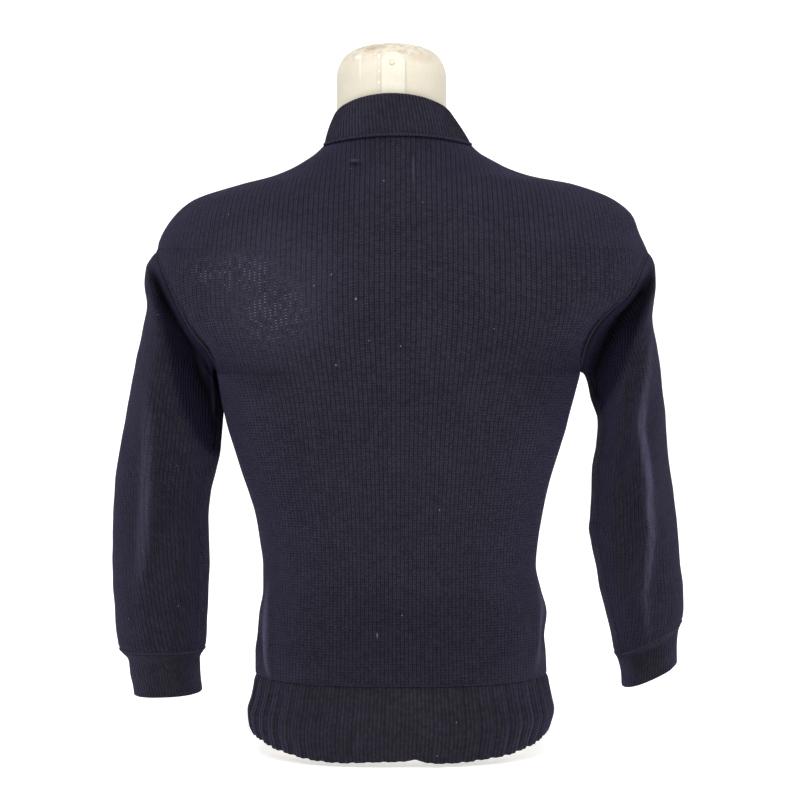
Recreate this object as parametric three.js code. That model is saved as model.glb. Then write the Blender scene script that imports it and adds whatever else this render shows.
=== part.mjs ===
// A knitted naval sweater on a limbless dress form: a plain pullover with a stand collar, set-in
// sleeves, knitted cuffs and a deep 2x2 ribbed welt, worn by a smooth torso form that stands on its
// flat base. Millimetres, +Z up. The origin is the middle of the base. The sweater's front faces -Y,
// its back +Y, and the wearer's left is +X.
import * as THREE from "three";

// Cloth
const CLOTH = 2.5; // the knitted wall of the body and sleeves
const COLLAR_CLOTH = 3.4; // the collar is knitted double
const CUFF_CLOTH = 3.0;
const WELT_CLOTH = 2.0; // the welt's wall between two ribs
const SEAM = 0.3; // the gap at every seam
const SAME_POINT = 1e-4; // points closer than this are one

// Heights of the garment's main lines
const WELT_TOP = 80;
const ARMPIT = 380;
const SHOULDER_TIP = 502;
const NECK_POINT = 597.5;
const FRONT_NECK_DROP = 25; // the neckline is this much lower in front
const BACK_NECK_RISE = 2;
const NECK_DROP_STARTS = 520;

// Fineness of the walls
const PANEL_COLUMNS = 18;
const PANEL_CROWDING = 0.4; // how much the columns crowd towards the sides, where a section turns fastest
const SIDE_ROWS = 9;
const ARMHOLE_ROWS = 14;
const SHOULDER_ROWS = 8;
const SLEEVE_RINGS = 17;
const RING_CROWDING = 1.25; // rings crowd towards the armhole, where the fold is deep
const CUFF_RINGS = 3;
const FINE = 160; // samples of a section before it is shared out into columns

// Ribs
const WELT_RIBS = 26; // on each half of the welt
const WELT_RIB_RISE = 2.2;
const WELT_RIB_PROFILE = [ // across one rib: share of its width, share of its rise
  { at: 0.1, rise: 0 },
  { at: 0.27, rise: 1 },
  { at: 0.73, rise: 1 },
  { at: 0.9, rise: 0 },
];
const COLLAR_RIBS_PER_COLUMN = 3;
const COLLAR_RIB_RISE = 0.8;

// The body below the armpits, outside the cloth. left and right are half widths, back and front are
// depths; flat and round are the powers of the section's curve.
const BODY = [
  { z: 80, left: 145, right: 147, back: 98, front: 106, flat: 2.5, round: 2.1 },
  { z: 100, left: 145, right: 146, back: 97, front: 107, flat: 2.5, round: 2.1 },
  { z: 115, left: 143, right: 144.5, back: 94, front: 106, flat: 2.5, round: 2.1 },
  { z: 138, left: 141, right: 147, back: 91, front: 104, flat: 2.5, round: 2.1 },
  { z: 162, left: 137, right: 141, back: 88, front: 102, flat: 2.5, round: 2.1 },
  { z: 186, left: 137, right: 136, back: 87, front: 102, flat: 2.5, round: 2.1 },
  { z: 210, left: 140, right: 138, back: 88, front: 103, flat: 2.5, round: 2.1 },
  { z: 235, left: 144, right: 142, back: 91, front: 106, flat: 2.5, round: 2.1 },
  { z: 260, left: 151, right: 147, back: 95, front: 110, flat: 2.55, round: 2.2 },
  { z: 283, left: 159, right: 153, back: 99, front: 115, flat: 2.6, round: 2.3 },
  { z: 306, left: 166, right: 160, back: 103, front: 120, flat: 2.7, round: 2.45 },
  { z: 330, left: 173, right: 167, back: 107, front: 126, flat: 2.8, round: 2.6 },
  { z: 355, left: 178, right: 173, back: 110, front: 130, flat: 2.9, round: 2.75 },
  { z: ARMPIT, left: 181, right: 178, back: 113, front: 132, flat: 3, round: 2.9 },
  { z: 400, left: 187, right: 180, back: 114.5, front: 132, flat: 3, round: 2.9 },
  { z: 420, left: 202, right: 187, back: 115, front: 131, flat: 3, round: 2.9 },
  { z: 440, left: 213, right: 203, back: 114, front: 129, flat: 3, round: 2.9 },
  { z: 455, left: 220, right: 220, back: 112, front: 126, flat: 3, round: 2.9 },
  { z: 470, left: 227, right: 230, back: 109.5, front: 121, flat: 2.95, round: 2.85 },
  { z: 485, left: 234, right: 237, back: 106, front: 114, flat: 2.85, round: 2.7 },
  { z: SHOULDER_TIP, left: 241, right: 245, back: 101, front: 106, flat: 2.6, round: 2.4 },
  { z: 510.5, left: 239.5, right: 241.5, back: 98, front: 102, flat: 2.45, round: 2.25 },
  { z: 518.5, left: 236, right: 238, back: 94.5, front: 98, flat: 2.25, round: 2.1 },
  { z: 534.5, left: 225, right: 232, back: 87, front: 89, flat: 1.95, round: 1.85 },
  { z: 550.5, left: 206, right: 214, back: 79, front: 81, flat: 1.7, round: 1.6 },
  { z: 566.5, left: 158, right: 173, back: 71, front: 74, flat: 1.7, round: 1.35 },
  { z: 574.5, left: 127, right: 131, back: 66.5, front: 71, flat: 1.75, round: 1.4 },
  { z: 582.5, left: 107, right: 107, back: 62, front: 68, flat: 1.85, round: 1.5 },
  { z: NECK_POINT, left: 78, right: 73, back: 54, front: 62, flat: 2.1, round: 1.9 },
];

// How far the armhole's edge stands from the middle plane, towards the back and the front.
const ARMHOLE = [
  { z: ARMPIT, back: 0, front: 0 },
  { z: 383, back: 20, front: 20 },
  { z: 390, back: 40, front: 42 },
  { z: 404, back: 56, front: 60 },
  { z: 422, back: 64, front: 68 },
  { z: 445, back: 67, front: 70 },
  { z: 465, back: 63, front: 64 },
  { z: 482, back: 51, front: 51 },
  { z: 494, back: 34, front: 34 },
  { z: 500, back: 17, front: 17 },
  { z: SHOULDER_TIP, back: 0, front: 0 },
];

// The welt, from its seam down; it flares and then curls in.
const WELT = [
  { z: 0, left: 144, right: 144, back: 98, front: 106 },
  { z: 8, left: 145, right: 144, back: 101, front: 109 },
  { z: 18, left: 147.5, right: 146.5, back: 103, front: 111 },
  { z: 30, left: 152.5, right: 151.5, back: 104, front: 112 },
  { z: 42, left: 153.5, right: 154.5, back: 104, front: 112 },
  { z: 54, left: 150, right: 152, back: 102, front: 110 },
  { z: 67, left: 147, right: 149, back: 100, front: 108 },
  { z: WELT_TOP, left: 145, right: 147, back: 98, front: 106 },
];
const WELT_ROWS = [0, 0.36, 0.7, 1];
const WELT_FLAT = 2.5;
const WELT_ROUND = 2.1;
const WELT_LOW = 6; // its lower edge at the back and front
const WELT_CURL = 17; // the edge lies this much higher at the sides
const WELT_CURL_POWER = 6;

// The sleeves' outlines from behind, as distances from the middle plane.
const SLEEVES = {
  left: {
    side: 1,
    outer: [
      { z: 101, x: 283 }, { z: 115, x: 285 }, { z: 138, x: 287 }, { z: 186, x: 289 }, { z: 234, x: 288 },
      { z: 282, x: 284 }, { z: 330, x: 276 }, { z: 366, x: 269 }, { z: 402, x: 261 }, { z: 426, x: 256 },
      { z: 450, x: 252 }, { z: 470, x: 254 }, { z: 486, x: 252 }, { z: 494, x: 247.5 },
      { z: SHOULDER_TIP, x: 241 },
    ],
    inner: [
      { z: 101, x: 196 }, { z: 138, x: 194 }, { z: 186, x: 192 }, { z: 234, x: 192 }, { z: 258, x: 190 },
      { z: 282, x: 184 }, { z: 306, x: 179.5 }, { z: 330, x: 178.3 }, { z: 352, x: 179.2 },
      { z: 366, x: 181.2 }, { z: 374, x: 183.8 }, { z: 378.5, x: 184 }, { z: ARMPIT, x: 181 },
    ],
    // Where the rings stand: inner and outer height, and the depth behind and before their middle.
    rings: [
      { at: 0, inner: ARMPIT, outer: SHOULDER_TIP, back: 64, front: 66, middle: 0 },
      { at: 0.06, inner: 378.5, outer: 493, back: 64, front: 66, middle: 0 },
      { at: 0.14, inner: 371, outer: 474, back: 64, front: 66, middle: 0 },
      { at: 0.3, inner: 348, outer: 420, back: 61, front: 64, middle: -1 },
      { at: 0.45, inner: 312, outer: 348, back: 57, front: 60, middle: -3 },
      { at: 0.6, inner: 264, outer: 276, back: 53, front: 56, middle: -5 },
      { at: 0.75, inner: 206, outer: 209, back: 50, front: 53, middle: -7 },
      { at: 0.9, inner: 141, outer: 141, back: 47, front: 49, middle: -9 },
      { at: 1, inner: 101.5, outer: 101, back: 43, front: 45, middle: -9 },
    ],
    // The deep fold beside the armhole and the pressed crease down the sleeve, seen from behind.
    folds: [
      [
        { z: 286, x: 183, half: 10, rise: 0 }, { z: 305, x: 185, half: 11, rise: -6 },
        { z: 335, x: 191, half: 14, rise: -18 }, { z: 365, x: 198, half: 16, rise: -28 },
        { z: 400, x: 206, half: 15, rise: -30 }, { z: 435, x: 221, half: 13, rise: -25 },
        { z: 460, x: 233, half: 11, rise: -16 }, { z: 482, x: 241, half: 10, rise: -6 },
        { z: 496, x: 246, half: 9, rise: 0 },
      ],
      [
        { z: 130, x: 257, half: 12, rise: 0 }, { z: 196, x: 254, half: 9, rise: 5 },
        { z: 255, x: 249, half: 8, rise: 6 }, { z: 323, x: 246, half: 8, rise: 6 },
        { z: 367, x: 244, half: 9, rise: 5 }, { z: 420, x: 240, half: 9, rise: 0 },
      ],
    ],
    cuff: [
      { at: 0, inner: 101.5, outer: 101, innerX: 196, outerX: 283, back: 43, front: 45, middle: -9 },
      { at: 0.25, inner: 91, outer: 91, innerX: 201.5, outerX: 274.5, back: 38, front: 40, middle: -9 },
      { at: 0.6, inner: 75, outer: 74, innerX: 202, outerX: 271.5, back: 36, front: 38, middle: -9 },
      { at: 1, inner: 59.5, outer: 56, innerX: 200, outerX: 268, back: 36, front: 38, middle: -9 },
    ],
  },
  right: {
    side: -1,
    outer: [
      { z: 130, x: 284 }, { z: 140, x: 285 }, { z: 162, x: 285 }, { z: 186, x: 282 }, { z: 210, x: 280 },
      { z: 258, x: 274.5 }, { z: 306, x: 268 }, { z: 354, x: 263.5 }, { z: 402, x: 257 },
      { z: 438, x: 251 }, { z: 450, x: 252 }, { z: 470, x: 254 }, { z: 486, x: 253 },
      { z: 494, x: 250.5 }, { z: SHOULDER_TIP, x: 245 },
    ],
    inner: [
      { z: 96, x: 216 }, { z: 114, x: 213 }, { z: 138, x: 207 }, { z: 162, x: 201 }, { z: 186, x: 197 },
      { z: 210, x: 192 }, { z: 222, x: 189.5 }, { z: 234, x: 191 }, { z: 282, x: 193 }, { z: 306, x: 197 },
      { z: 330, x: 198 }, { z: 354, x: 190.5 }, { z: 366, x: 188 }, { z: 374, x: 185.5 },
      { z: 378.3, x: 183 }, { z: ARMPIT, x: 178 },
    ],
    rings: [
      { at: 0, inner: ARMPIT, outer: SHOULDER_TIP, back: 64, front: 66, middle: 0 },
      { at: 0.06, inner: 378, outer: 493, back: 64, front: 66, middle: 0 },
      { at: 0.14, inner: 369, outer: 474, back: 64, front: 66, middle: 0 },
      { at: 0.3, inner: 344, outer: 420, back: 62, front: 64, middle: -1 },
      { at: 0.45, inner: 304, outer: 350, back: 59, front: 61, middle: -3 },
      { at: 0.6, inner: 254, outer: 284, back: 57, front: 58, middle: -5 },
      { at: 0.75, inner: 197, outer: 224, back: 54, front: 55, middle: -7 },
      { at: 0.9, inner: 135, outer: 166, back: 50, front: 51, middle: -9 },
      { at: 1, inner: 96, outer: 130, back: 44, front: 46, middle: -9 },
    ],
    folds: [
      [
        { z: 326, x: 198, half: 10, rise: 0 }, { z: 340, x: 196, half: 10, rise: -7 },
        { z: 366, x: 197, half: 12, rise: -20 }, { z: 400, x: 201, half: 15, rise: -30 },
        { z: 440, x: 219, half: 14, rise: -27 }, { z: 468, x: 239, half: 11, rise: -15 },
        { z: 484, x: 244, half: 10, rise: -6 }, { z: 496, x: 248, half: 9, rise: 0 },
      ],
      [
        { z: 116, x: 241, half: 10, rise: 0 }, { z: 140, x: 241, half: 10, rise: 3 },
        { z: 185, x: 241, half: 8, rise: 6 }, { z: 222, x: 245, half: 7, rise: 8 },
        { z: 253, x: 246, half: 7, rise: 8 }, { z: 277, x: 241, half: 7, rise: 8 },
        { z: 332, x: 234, half: 7, rise: 9 }, { z: 371, x: 239, half: 7, rise: 8 },
        { z: 401, x: 240, half: 7, rise: 7 }, { z: 428, x: 247, half: 6, rise: 5 },
        { z: 452, x: 246, half: 7, rise: 0 },
      ],
    ],
    cuff: [
      { at: 0, inner: 96, outer: 130, innerX: 216, outerX: 284, back: 44, front: 46, middle: -9 },
      { at: 0.25, inner: 89, outer: 120, innerX: 220, outerX: 280, back: 38, front: 40, middle: -9 },
      { at: 0.6, inner: 78, outer: 105, innerX: 222.5, outerX: 279.5, back: 37, front: 38, middle: -9 },
      { at: 1, inner: 64, outer: 88, innerX: 224, outerX: 279, back: 37, front: 38, middle: -9 },
    ],
  },
};
const SLEEVE_FLAT = 2.2;
const SLEEVE_ROUND = 2.1;
const SLEEVE_FRONT_SHARE = 0.75; // the front of each sleeve has the same folds, shallower
const SLEEVE_SETTLES = 0.3; // share of the sleeve's length over which the armhole's outline fades out
const FOLD_STARTS = 11; // distance from the armhole seam over which a fold grows
const FOLD_FLANK = 8; // a fold fades out over the last eighth of the sleeve's width

// The collar's upper edge is an oval, higher behind than in front.
const COLLAR_TOP = { x: 6.8, half: 59, back: 52.3, front: 59, z: 629.5, backRise: 22, frontDrop: 13 };
const COLLAR_ROWS = [0, 0.45, 1];

// The dress form: how far it lies inside the cloth, its rounded base and its neck.
const FORM_EASE = [
  { z: WELT_TOP, ease: 10.5 }, { z: 115, ease: 8 }, { z: 186, ease: 6 }, { z: 260, ease: 5 },
  { z: 330, ease: 3 }, { z: ARMPIT, ease: 2.4 }, { z: 440, ease: 2 }, { z: 490, ease: 1.9 },
  { z: SHOULDER_TIP, ease: 1.7 }, { z: 516, ease: 0.7 }, { z: 570, ease: 0.7 }, { z: NECK_POINT, ease: 2 },
];
const FORM_CLOSE_ROWS = 5; // this many rows below the shoulder tip it starts to have all the panels' rows
const FORM_SIDE = 0.15; // half the width of the strip down each side, which widens to the flat arm plates
const BASE = [
  { z: 0, half: 108, back: 43, front: 45 },
  { z: 5, half: 117, back: 54, front: 57 },
  { z: 16, half: 126, back: 67, front: 72 },
  { z: 34, half: 131, back: 78, front: 84 },
  { z: 58, half: 132.5, back: 83, front: 90 },
];
const BASE_POWER = 2.4;
const NECK = [
  { z: 603, x: 4, half: 62, back: 48.5, front: 56 },
  { z: 613, x: 5.7, half: 57.5, back: 46.8, front: 54.6 },
  { z: 626, x: 7.4, half: 54.5, back: 46, front: 54 },
  { z: 645, x: 8.3, half: 54.5, back: 46, front: 54 },
  { z: 673, x: 8.5, half: 54.5, back: 46, front: 53.5 },
  { z: 682, x: 8.5, half: 52.7, back: 44.4, front: 51.6 },
  { z: 690, x: 8.5, half: 48.8, back: 41.2, front: 47.8 },
  { z: 696, x: 8.3, half: 43, back: 36.5, front: 42 },
  { z: 701.5, x: 8, half: 33, back: 28, front: 32 },
  { z: 705, x: 8, half: 19, back: 16, front: 18.5 },
];
const NECK_TOP = { x: 8, z: 706 };

// A flat strap plate is let over the back of the neck, with one screw.
const STRAP = {
  x: 6.6,
  half: 11.3,
  low: 638,
  high: 693,
  cornerRise: 9,
  topHalf: 2.26, // half the width of its upper end, where the two round corners meet
  proud: 0.6,
  thick: 1.2,
  columns: 4,
  rows: 9,
};
const SCREW = {
  x: 7.8,
  z: 683,
  radius: 2.6,
  rimRise: 0.5,
  crownRadius: 1.95,
  crownRise: 0.94,
  rise: 1.1,
  proud: 0.3,
  sides: 16,
};

const COLOURS = { cloth: 0x2c2b34, rib: 0x292831, form: 0xe9e4d2, strap: 0xf4f1e6, screw: 0xb9b3a3 };
const WOOL_ROUGHNESS = 0.95;
const PAINT_ROUGHNESS = 0.6;

// Smooth value of a column of a table at a height, with no overshoot between rows.
function along(rows, column, key, value) {
  const n = rows.length;
  const last = n - 1;
  if (value <= rows[0][key]) return rows[0][column];
  if (value >= rows[last][key]) return rows[last][column];
  let i = 0;
  while (rows[i + 1][key] < value) i += 1;
  const slope = (a) => (rows[a + 1][column] - rows[a][column]) / (rows[a + 1][key] - rows[a][key]);
  const here = slope(i);
  const bend = (a, b) => (a * b <= 0 ? 0 : (2 * a * b) / (a + b));
  const start = i === 0 ? here : bend(slope(i - 1), here);
  const end = i === last - 1 ? here : bend(here, slope(i + 1));
  const step = rows[i + 1][key] - rows[i][key];
  const t = (value - rows[i][key]) / step;
  const t2 = t * t;
  const t3 = t2 * t;
  return (2 * t3 - 3 * t2 + 1) * rows[i][column] + (t3 - 2 * t2 + t) * step * start
    + (3 * t2 - 2 * t3) * rows[i + 1][column] + (t3 - t2) * step * end;
}

const atHeight = (rows, column, z) => along(rows, column, "z", z);
const mix = (a, b, t) => a + (b - a) * t;
const smooth = (t) => {
  const c = Math.min(1, Math.max(0, t));
  return c * c * (3 - 2 * c);
};
const point = (x, y, z) => new THREE.Vector3(x, y, z);

// Points along a polyline at the given shares of its length.
function spread(line, shares) {
  const lengths = [0];
  for (let i = 1; i < line.length; i += 1) lengths.push(lengths[i - 1] + line[i].distanceTo(line[i - 1]));
  const whole = lengths[line.length - 1];
  let i = 0;
  return shares.map((share) => {
    const want = share * whole;
    while (i < line.length - 2 && lengths[i + 1] < want) i += 1;
    const t = (want - lengths[i]) / (lengths[i + 1] - lengths[i]);
    return line[i].clone().lerp(line[i + 1], Math.min(1, t));
  });
}

const evenShares = (count) => Array.from({ length: count + 1 }, (_, i) => i / count);

// Height of the profile (1 - q^flat)^(1/round) at q.
const crown = (q, flat, round) => Math.pow(Math.max(0, 1 - Math.pow(Math.abs(q), flat)), 1 / round);

// The samples crowd towards both ends, where a section turns fastest.
const acrossFine = evenShares(FINE).map((t) => Math.sin((t - 0.5) * Math.PI));

// How far the middle of a row lies above its ends.
const neckShift = (face, edgeZ) =>
  (face > 0 ? BACK_NECK_RISE : -FRONT_NECK_DROP)
  * smooth((edgeZ - NECK_DROP_STARTS) / (NECK_POINT - NECK_DROP_STARTS));

// One row of a body panel, from the wearer's right edge to the left. face is 1 for the back.
function bodyRow(face, edgeZ, shares) {
  const depthName = face > 0 ? "back" : "front";
  const left = atHeight(BODY, "left", edgeZ);
  const right = atHeight(BODY, "right", edgeZ);
  const reach = atHeight(ARMHOLE, depthName, edgeZ);
  const flat = atHeight(BODY, "flat", edgeZ);
  const round = atHeight(BODY, "round", edgeZ);
  // The armhole's edge cuts the section short: the whole section would be this wide.
  const cut = Math.pow(1 - Math.pow(reach / atHeight(BODY, depthName, edgeZ), round), 1 / flat);
  const line = acrossFine.map((q) => {
    const z = edgeZ + neckShift(face, edgeZ) * (1 - q * q);
    const y = atHeight(BODY, depthName, z) * crown(q * cut, flat, round);
    return point(q > 0 ? q * left : q * right, face * y, z);
  });
  return spread(line, shares);
}

// Heights of the panel's rows: even along the side seam, the armhole's edge and the shoulder seam.
function rowHeights() {
  const stretch = (from, to, count) => {
    const line = evenShares(FINE).map((t) => {
      const z = mix(from, to, t);
      return point(atHeight(BODY, "left", z), atHeight(ARMHOLE, "back", z), z);
    });
    return spread(line, evenShares(count)).map((p) => p.z);
  };
  const side = stretch(WELT_TOP, ARMPIT, SIDE_ROWS);
  const armhole = stretch(ARMPIT, SHOULDER_TIP, ARMHOLE_ROWS);
  const shoulder = stretch(SHOULDER_TIP, NECK_POINT, SHOULDER_ROWS);
  return [...side, ...armhole.slice(1), ...shoulder.slice(1)];
}

// Outward unit normals of a grid of rows. turn is 1 or -1 and sets which side is out.
function normalsOf(rows, closed, turn) {
  const last = rows.length - 1;
  return rows.map((row, j) => row.map((_, i) => {
    const n = row.length;
    const before = closed ? (i + n - 1) % n : Math.max(0, i - 1);
    const after = closed ? (i + 1) % n : Math.min(n - 1, i + 1);
    const across = row[after].clone().sub(row[before]);
    const up = rows[Math.min(last, j + 1)][i].clone().sub(rows[Math.max(0, j - 1)][i]);
    return across.cross(up).multiplyScalar(turn).normalize();
  }));
}

const inwards = (rows, normals, thick) =>
  rows.map((row, j) => row.map((p, i) => p.clone().addScaledVector(normals[j][i], -thick)));

// Collects triangles into one closed surface.
class Shell {
  constructor() {
    this.corners = [];
  }
  triangle(a, b, c) {
    const sides = [a.distanceTo(b), b.distanceTo(c), c.distanceTo(a)];
    if (Math.min(...sides) < SAME_POINT) return;
    for (const p of [a, b, c]) this.corners.push(p.x, p.y, p.z);
  }
  // Quads between rows of equal length.
  skin(rows, closed, flip) {
    for (let j = 0; j + 1 < rows.length; j += 1) {
      const n = rows[j].length;
      for (let i = 0; i < (closed ? n : n - 1); i += 1) {
        const k = (i + 1) % n;
        const [a, b, c, d] = [rows[j][i], rows[j][k], rows[j + 1][k], rows[j + 1][i]];
        if (flip) {
          this.triangle(a, c, b);
          this.triangle(a, d, c);
        } else {
          this.triangle(a, b, c);
          this.triangle(a, c, d);
        }
      }
    }
  }
  // Stitches two lines whose points stand at different shares of their length.
  stitch(low, lowShares, high, highShares, flip) {
    let i = 0;
    let k = 0;
    while (i < low.length - 1 || k < high.length - 1) {
      const lowNext = i < low.length - 1 ? lowShares[i + 1] : Infinity;
      const highNext = k < high.length - 1 ? highShares[k + 1] : Infinity;
      if (lowNext <= highNext) {
        if (flip) this.triangle(low[i], high[k], low[i + 1]);
        else this.triangle(low[i], low[i + 1], high[k]);
        i += 1;
      } else {
        if (flip) this.triangle(low[i], high[k], high[k + 1]);
        else this.triangle(low[i], high[k + 1], high[k]);
        k += 1;
      }
    }
  }
  fan(ring, tip, flip) {
    ring.forEach((p, i) => {
      const next = ring[(i + 1) % ring.length];
      if (flip) this.triangle(p, tip, next);
      else this.triangle(p, next, tip);
    });
  }
  mesh(name, colour, roughness) {
    const geometry = new THREE.BufferGeometry();
    geometry.setAttribute("position", new THREE.Float32BufferAttribute(this.corners, 3));
    geometry.computeVertexNormals();
    const material = new THREE.MeshStandardMaterial({ color: colour, roughness, metalness: 0 });
    const made = new THREE.Mesh(geometry, material);
    made.name = name;
    return made;
  }
}

// A wall between outer and inner rows. facing is 1 where rows run anticlockwise seen from outside,
// going up. The inner rows may have fewer columns than the outer ones. outerEdgeFirst turns the
// diagonals of an open wall's side edges, so that they lie along those of the wall sewn to it.
function wall(name, outer, inner, options) {
  const { closed = false, facing = 1, colour = COLOURS.cloth, outerEdgeFirst = false } = options;
  const { outerShares = null, innerShares = null } = options;
  const shell = new Shell();
  const flip = facing < 0;
  shell.skin(outer, closed, flip);
  shell.skin(inner, closed, !flip);
  const ring = (row) => (closed ? [...row, row[0]] : row);
  const sharesOf = (row, given) => given ?? evenShares(ring(row).length - 1);
  const a = sharesOf(outer[0], outerShares);
  const b = sharesOf(inner[0], innerShares);
  const top = outer.length - 1;
  shell.stitch(ring(outer[0]), a, ring(inner[0]), b, !flip);
  shell.stitch(ring(outer[top]), a, ring(inner[top]), b, flip);
  if (!closed) {
    for (const [end, turned] of [[0, flip], [1, !flip]]) {
      const edge = (rows) => rows.map((row) => row[end ? row.length - 1 : 0]);
      const steps = evenShares(top);
      if (outerEdgeFirst) shell.stitch(edge(outer), steps, edge(inner), steps, turned);
      else shell.stitch(edge(inner), steps, edge(outer), steps, !turned);
    }
  }
  return shell.mesh(name, colour, WOOL_ROUGHNESS);
}

// Mitres two walls that meet along a closed line: both get the mean normal there, and the second
// starts one seam's width beyond the first. behind holds points of the first wall near the line.
function mitre(line, firstNormals, secondNormals, behind) {
  const n = line.length;
  return line.map((p, i) => {
    const normal = firstNormals[i].clone().add(secondNormals[i]).normalize();
    const away = line[(i + 1) % n].clone().sub(line[(i + n - 1) % n]).cross(normal).normalize();
    if (away.dot(behind[i].clone().sub(p)) > 0) away.negate();
    return { normal, start: p.clone().addScaledVector(away, SEAM) };
  });
}

const heights = rowHeights();
const armpitRow = SIDE_ROWS;
const tipRow = SIDE_ROWS + ARMHOLE_ROWS;
const crowded = (t) => (1 - Math.cos(Math.PI * t)) / 2;
const panelShares = evenShares(PANEL_COLUMNS).map((t) => mix(t, crowded(t), PANEL_CROWDING));

// Outer rows and normals of the two body panels, whose seams lie in the middle plane.
function bodyPanel(face) {
  const rows = heights.map((z) => bodyRow(face, z, panelShares));
  const normals = normalsOf(rows, false, -face);
  rows.forEach((row, j) => {
    for (const i of [0, PANEL_COLUMNS]) {
      if (j > armpitRow && j < tipRow) continue;
      normals[j][i].setY(0).normalize();
      row[i].setY(face * SEAM * 0.5);
    }
  });
  normals[0].forEach((normal) => normal.setZ(0).normalize());
  rows[0].forEach((p) => p.setZ(WELT_TOP + SEAM * 0.5));
  const plain = normals.map((row) => row.map((normal) => normal.clone()));
  return { face, rows, normals, plain };
}

const back = bodyPanel(1);
const front = bodyPanel(-1);

// The armhole as a closed loop: from the armpit up the back to the tip, and down the front.
function armholeLoop(side) {
  const column = side > 0 ? PANEL_COLUMNS : 0;
  const places = [];
  for (let j = armpitRow; j <= tipRow; j += 1) places.push({ panel: back, j });
  for (let j = tipRow - 1; j > armpitRow; j -= 1) places.push({ panel: front, j });
  const middle = (j, vector) => {
    const made = vector.clone();
    return j === armpitRow || j === tipRow ? made.setY(0) : made;
  };
  return {
    places,
    column,
    line: places.map(({ panel, j }) => middle(j, panel.rows[j][column])),
    normals: places.map(({ panel, j }) => middle(j, panel.normals[j][column]).normalize()),
    behind: places.map(({ panel, j }) => middle(j, panel.rows[j][column - side])),
  };
}

// Height of a fold's ridge or trough at a place seen from behind.
function foldRise(folds, x, z) {
  return folds.reduce((sum, path) => {
    if (z <= path[0].z || z >= path[path.length - 1].z) return sum;
    const away = (x - atHeight(path, "x", z)) / atHeight(path, "half", z);
    return sum + atHeight(path, "rise", z) * Math.exp(-away * away);
  }, 0);
}

function ringPlace(spec, at) {
  const value = (column) => along(spec.rings, column, "at", at);
  const inner = value("inner");
  const outer = value("outer");
  return {
    at,
    inner,
    outer,
    innerX: atHeight(spec.inner, "x", inner),
    outerX: atHeight(spec.outer, "x", outer),
    back: value("back"),
    front: value("front"),
    middle: value("middle"),
  };
}

// A ring of the plain section, from the underarm round the back to the outside and by the front.
function plainRing(spec, place) {
  const halfLine = (face) => spread(
    acrossFine.map((q) => {
      const share = (q + 1) / 2;
      const depth = face > 0 ? place.back : place.front;
      return point(
        spec.side * mix(place.innerX, place.outerX, share),
        place.middle + face * depth * crown(q, SLEEVE_FLAT, SLEEVE_ROUND),
        mix(place.inner, place.outer, share),
      );
    }),
    evenShares(ARMHOLE_ROWS),
  );
  return [...halfLine(1), ...halfLine(-1).reverse().slice(1, -1)];
}

// A ring of the sleeve with its folds. It leaves the armhole with the armhole's own outline.
function sleeveRing(spec, place, root, start) {
  const ring = plainRing(spec, place);
  const settle = smooth(place.at / SLEEVE_SETTLES);
  return ring.map((p, i) => {
    const face = i <= ARMHOLE_ROWS ? 1 : -1;
    const shaped = start[i].clone().add(p).sub(root[i]).lerp(p, settle);
    const grown = smooth(shaped.distanceTo(start[i]) / FOLD_STARTS);
    const across = (spec.side * p.x - place.innerX) / (place.outerX - place.innerX);
    const flank = smooth(Math.min(across, 1 - across) * FOLD_FLANK);
    const share = (face > 0 ? 1 : SLEEVE_FRONT_SHARE) * grown * flank;
    return shaped.setY(shaped.y + face * foldRise(spec.folds, spec.side * shaped.x, shaped.z) * share);
  });
}

function sleeve(name, spec) {
  const loop = armholeLoop(spec.side);
  const root = plainRing(spec, ringPlace(spec, 0));
  const rings = [loop.line];
  for (let k = 1; k <= SLEEVE_RINGS; k += 1) {
    const place = ringPlace(spec, Math.pow(k / SLEEVE_RINGS, RING_CROWDING));
    rings.push(sleeveRing(spec, place, root, loop.line));
  }
  const turn = spec.side;
  const normals = normalsOf(rings, true, turn);
  const joint = mitre(loop.line, loop.normals, normals[0], loop.behind);
  joint.forEach(({ normal, start }, i) => {
    rings[0][i] = start;
    normals[0][i] = normal;
    const { panel, j } = loop.places[i];
    if (j !== armpitRow && j !== tipRow) panel.normals[j][loop.column] = normal.clone();
  });
  for (const panel of [back, front]) {
    for (const [j, i] of [[armpitRow, 0], [tipRow, ARMHOLE_ROWS]]) {
      panel.normals[j][loop.column] = joint[i].normal.clone().setY(0).normalize();
    }
  }
  const cuffRings = evenShares(CUFF_RINGS).map((at) => {
    const place = Object.fromEntries(
      Object.keys(spec.cuff[0]).map((column) => [column, along(spec.cuff, column, "at", at)]),
    );
    return plainRing(spec, place);
  });
  const cuffNormals = normalsOf(cuffRings, true, turn);
  const end = rings.length - 1;
  const cuffJoint = mitre(rings[end], normals[end], cuffNormals[0], rings[end - 1]);
  cuffJoint.forEach(({ normal, start }, i) => {
    normals[end][i] = normal;
    cuffRings[0][i] = start;
    cuffNormals[0][i] = normal.clone();
  });
  return [
    wall(`sleeve_${name}`, rings, inwards(rings, normals, CLOTH), { closed: true, facing: turn }),
    wall(`cuff_${name}`, cuffRings, inwards(cuffRings, cuffNormals, CUFF_CLOTH), {
      closed: true,
      facing: turn,
      colour: COLOURS.rib,
    }),
  ];
}

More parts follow.
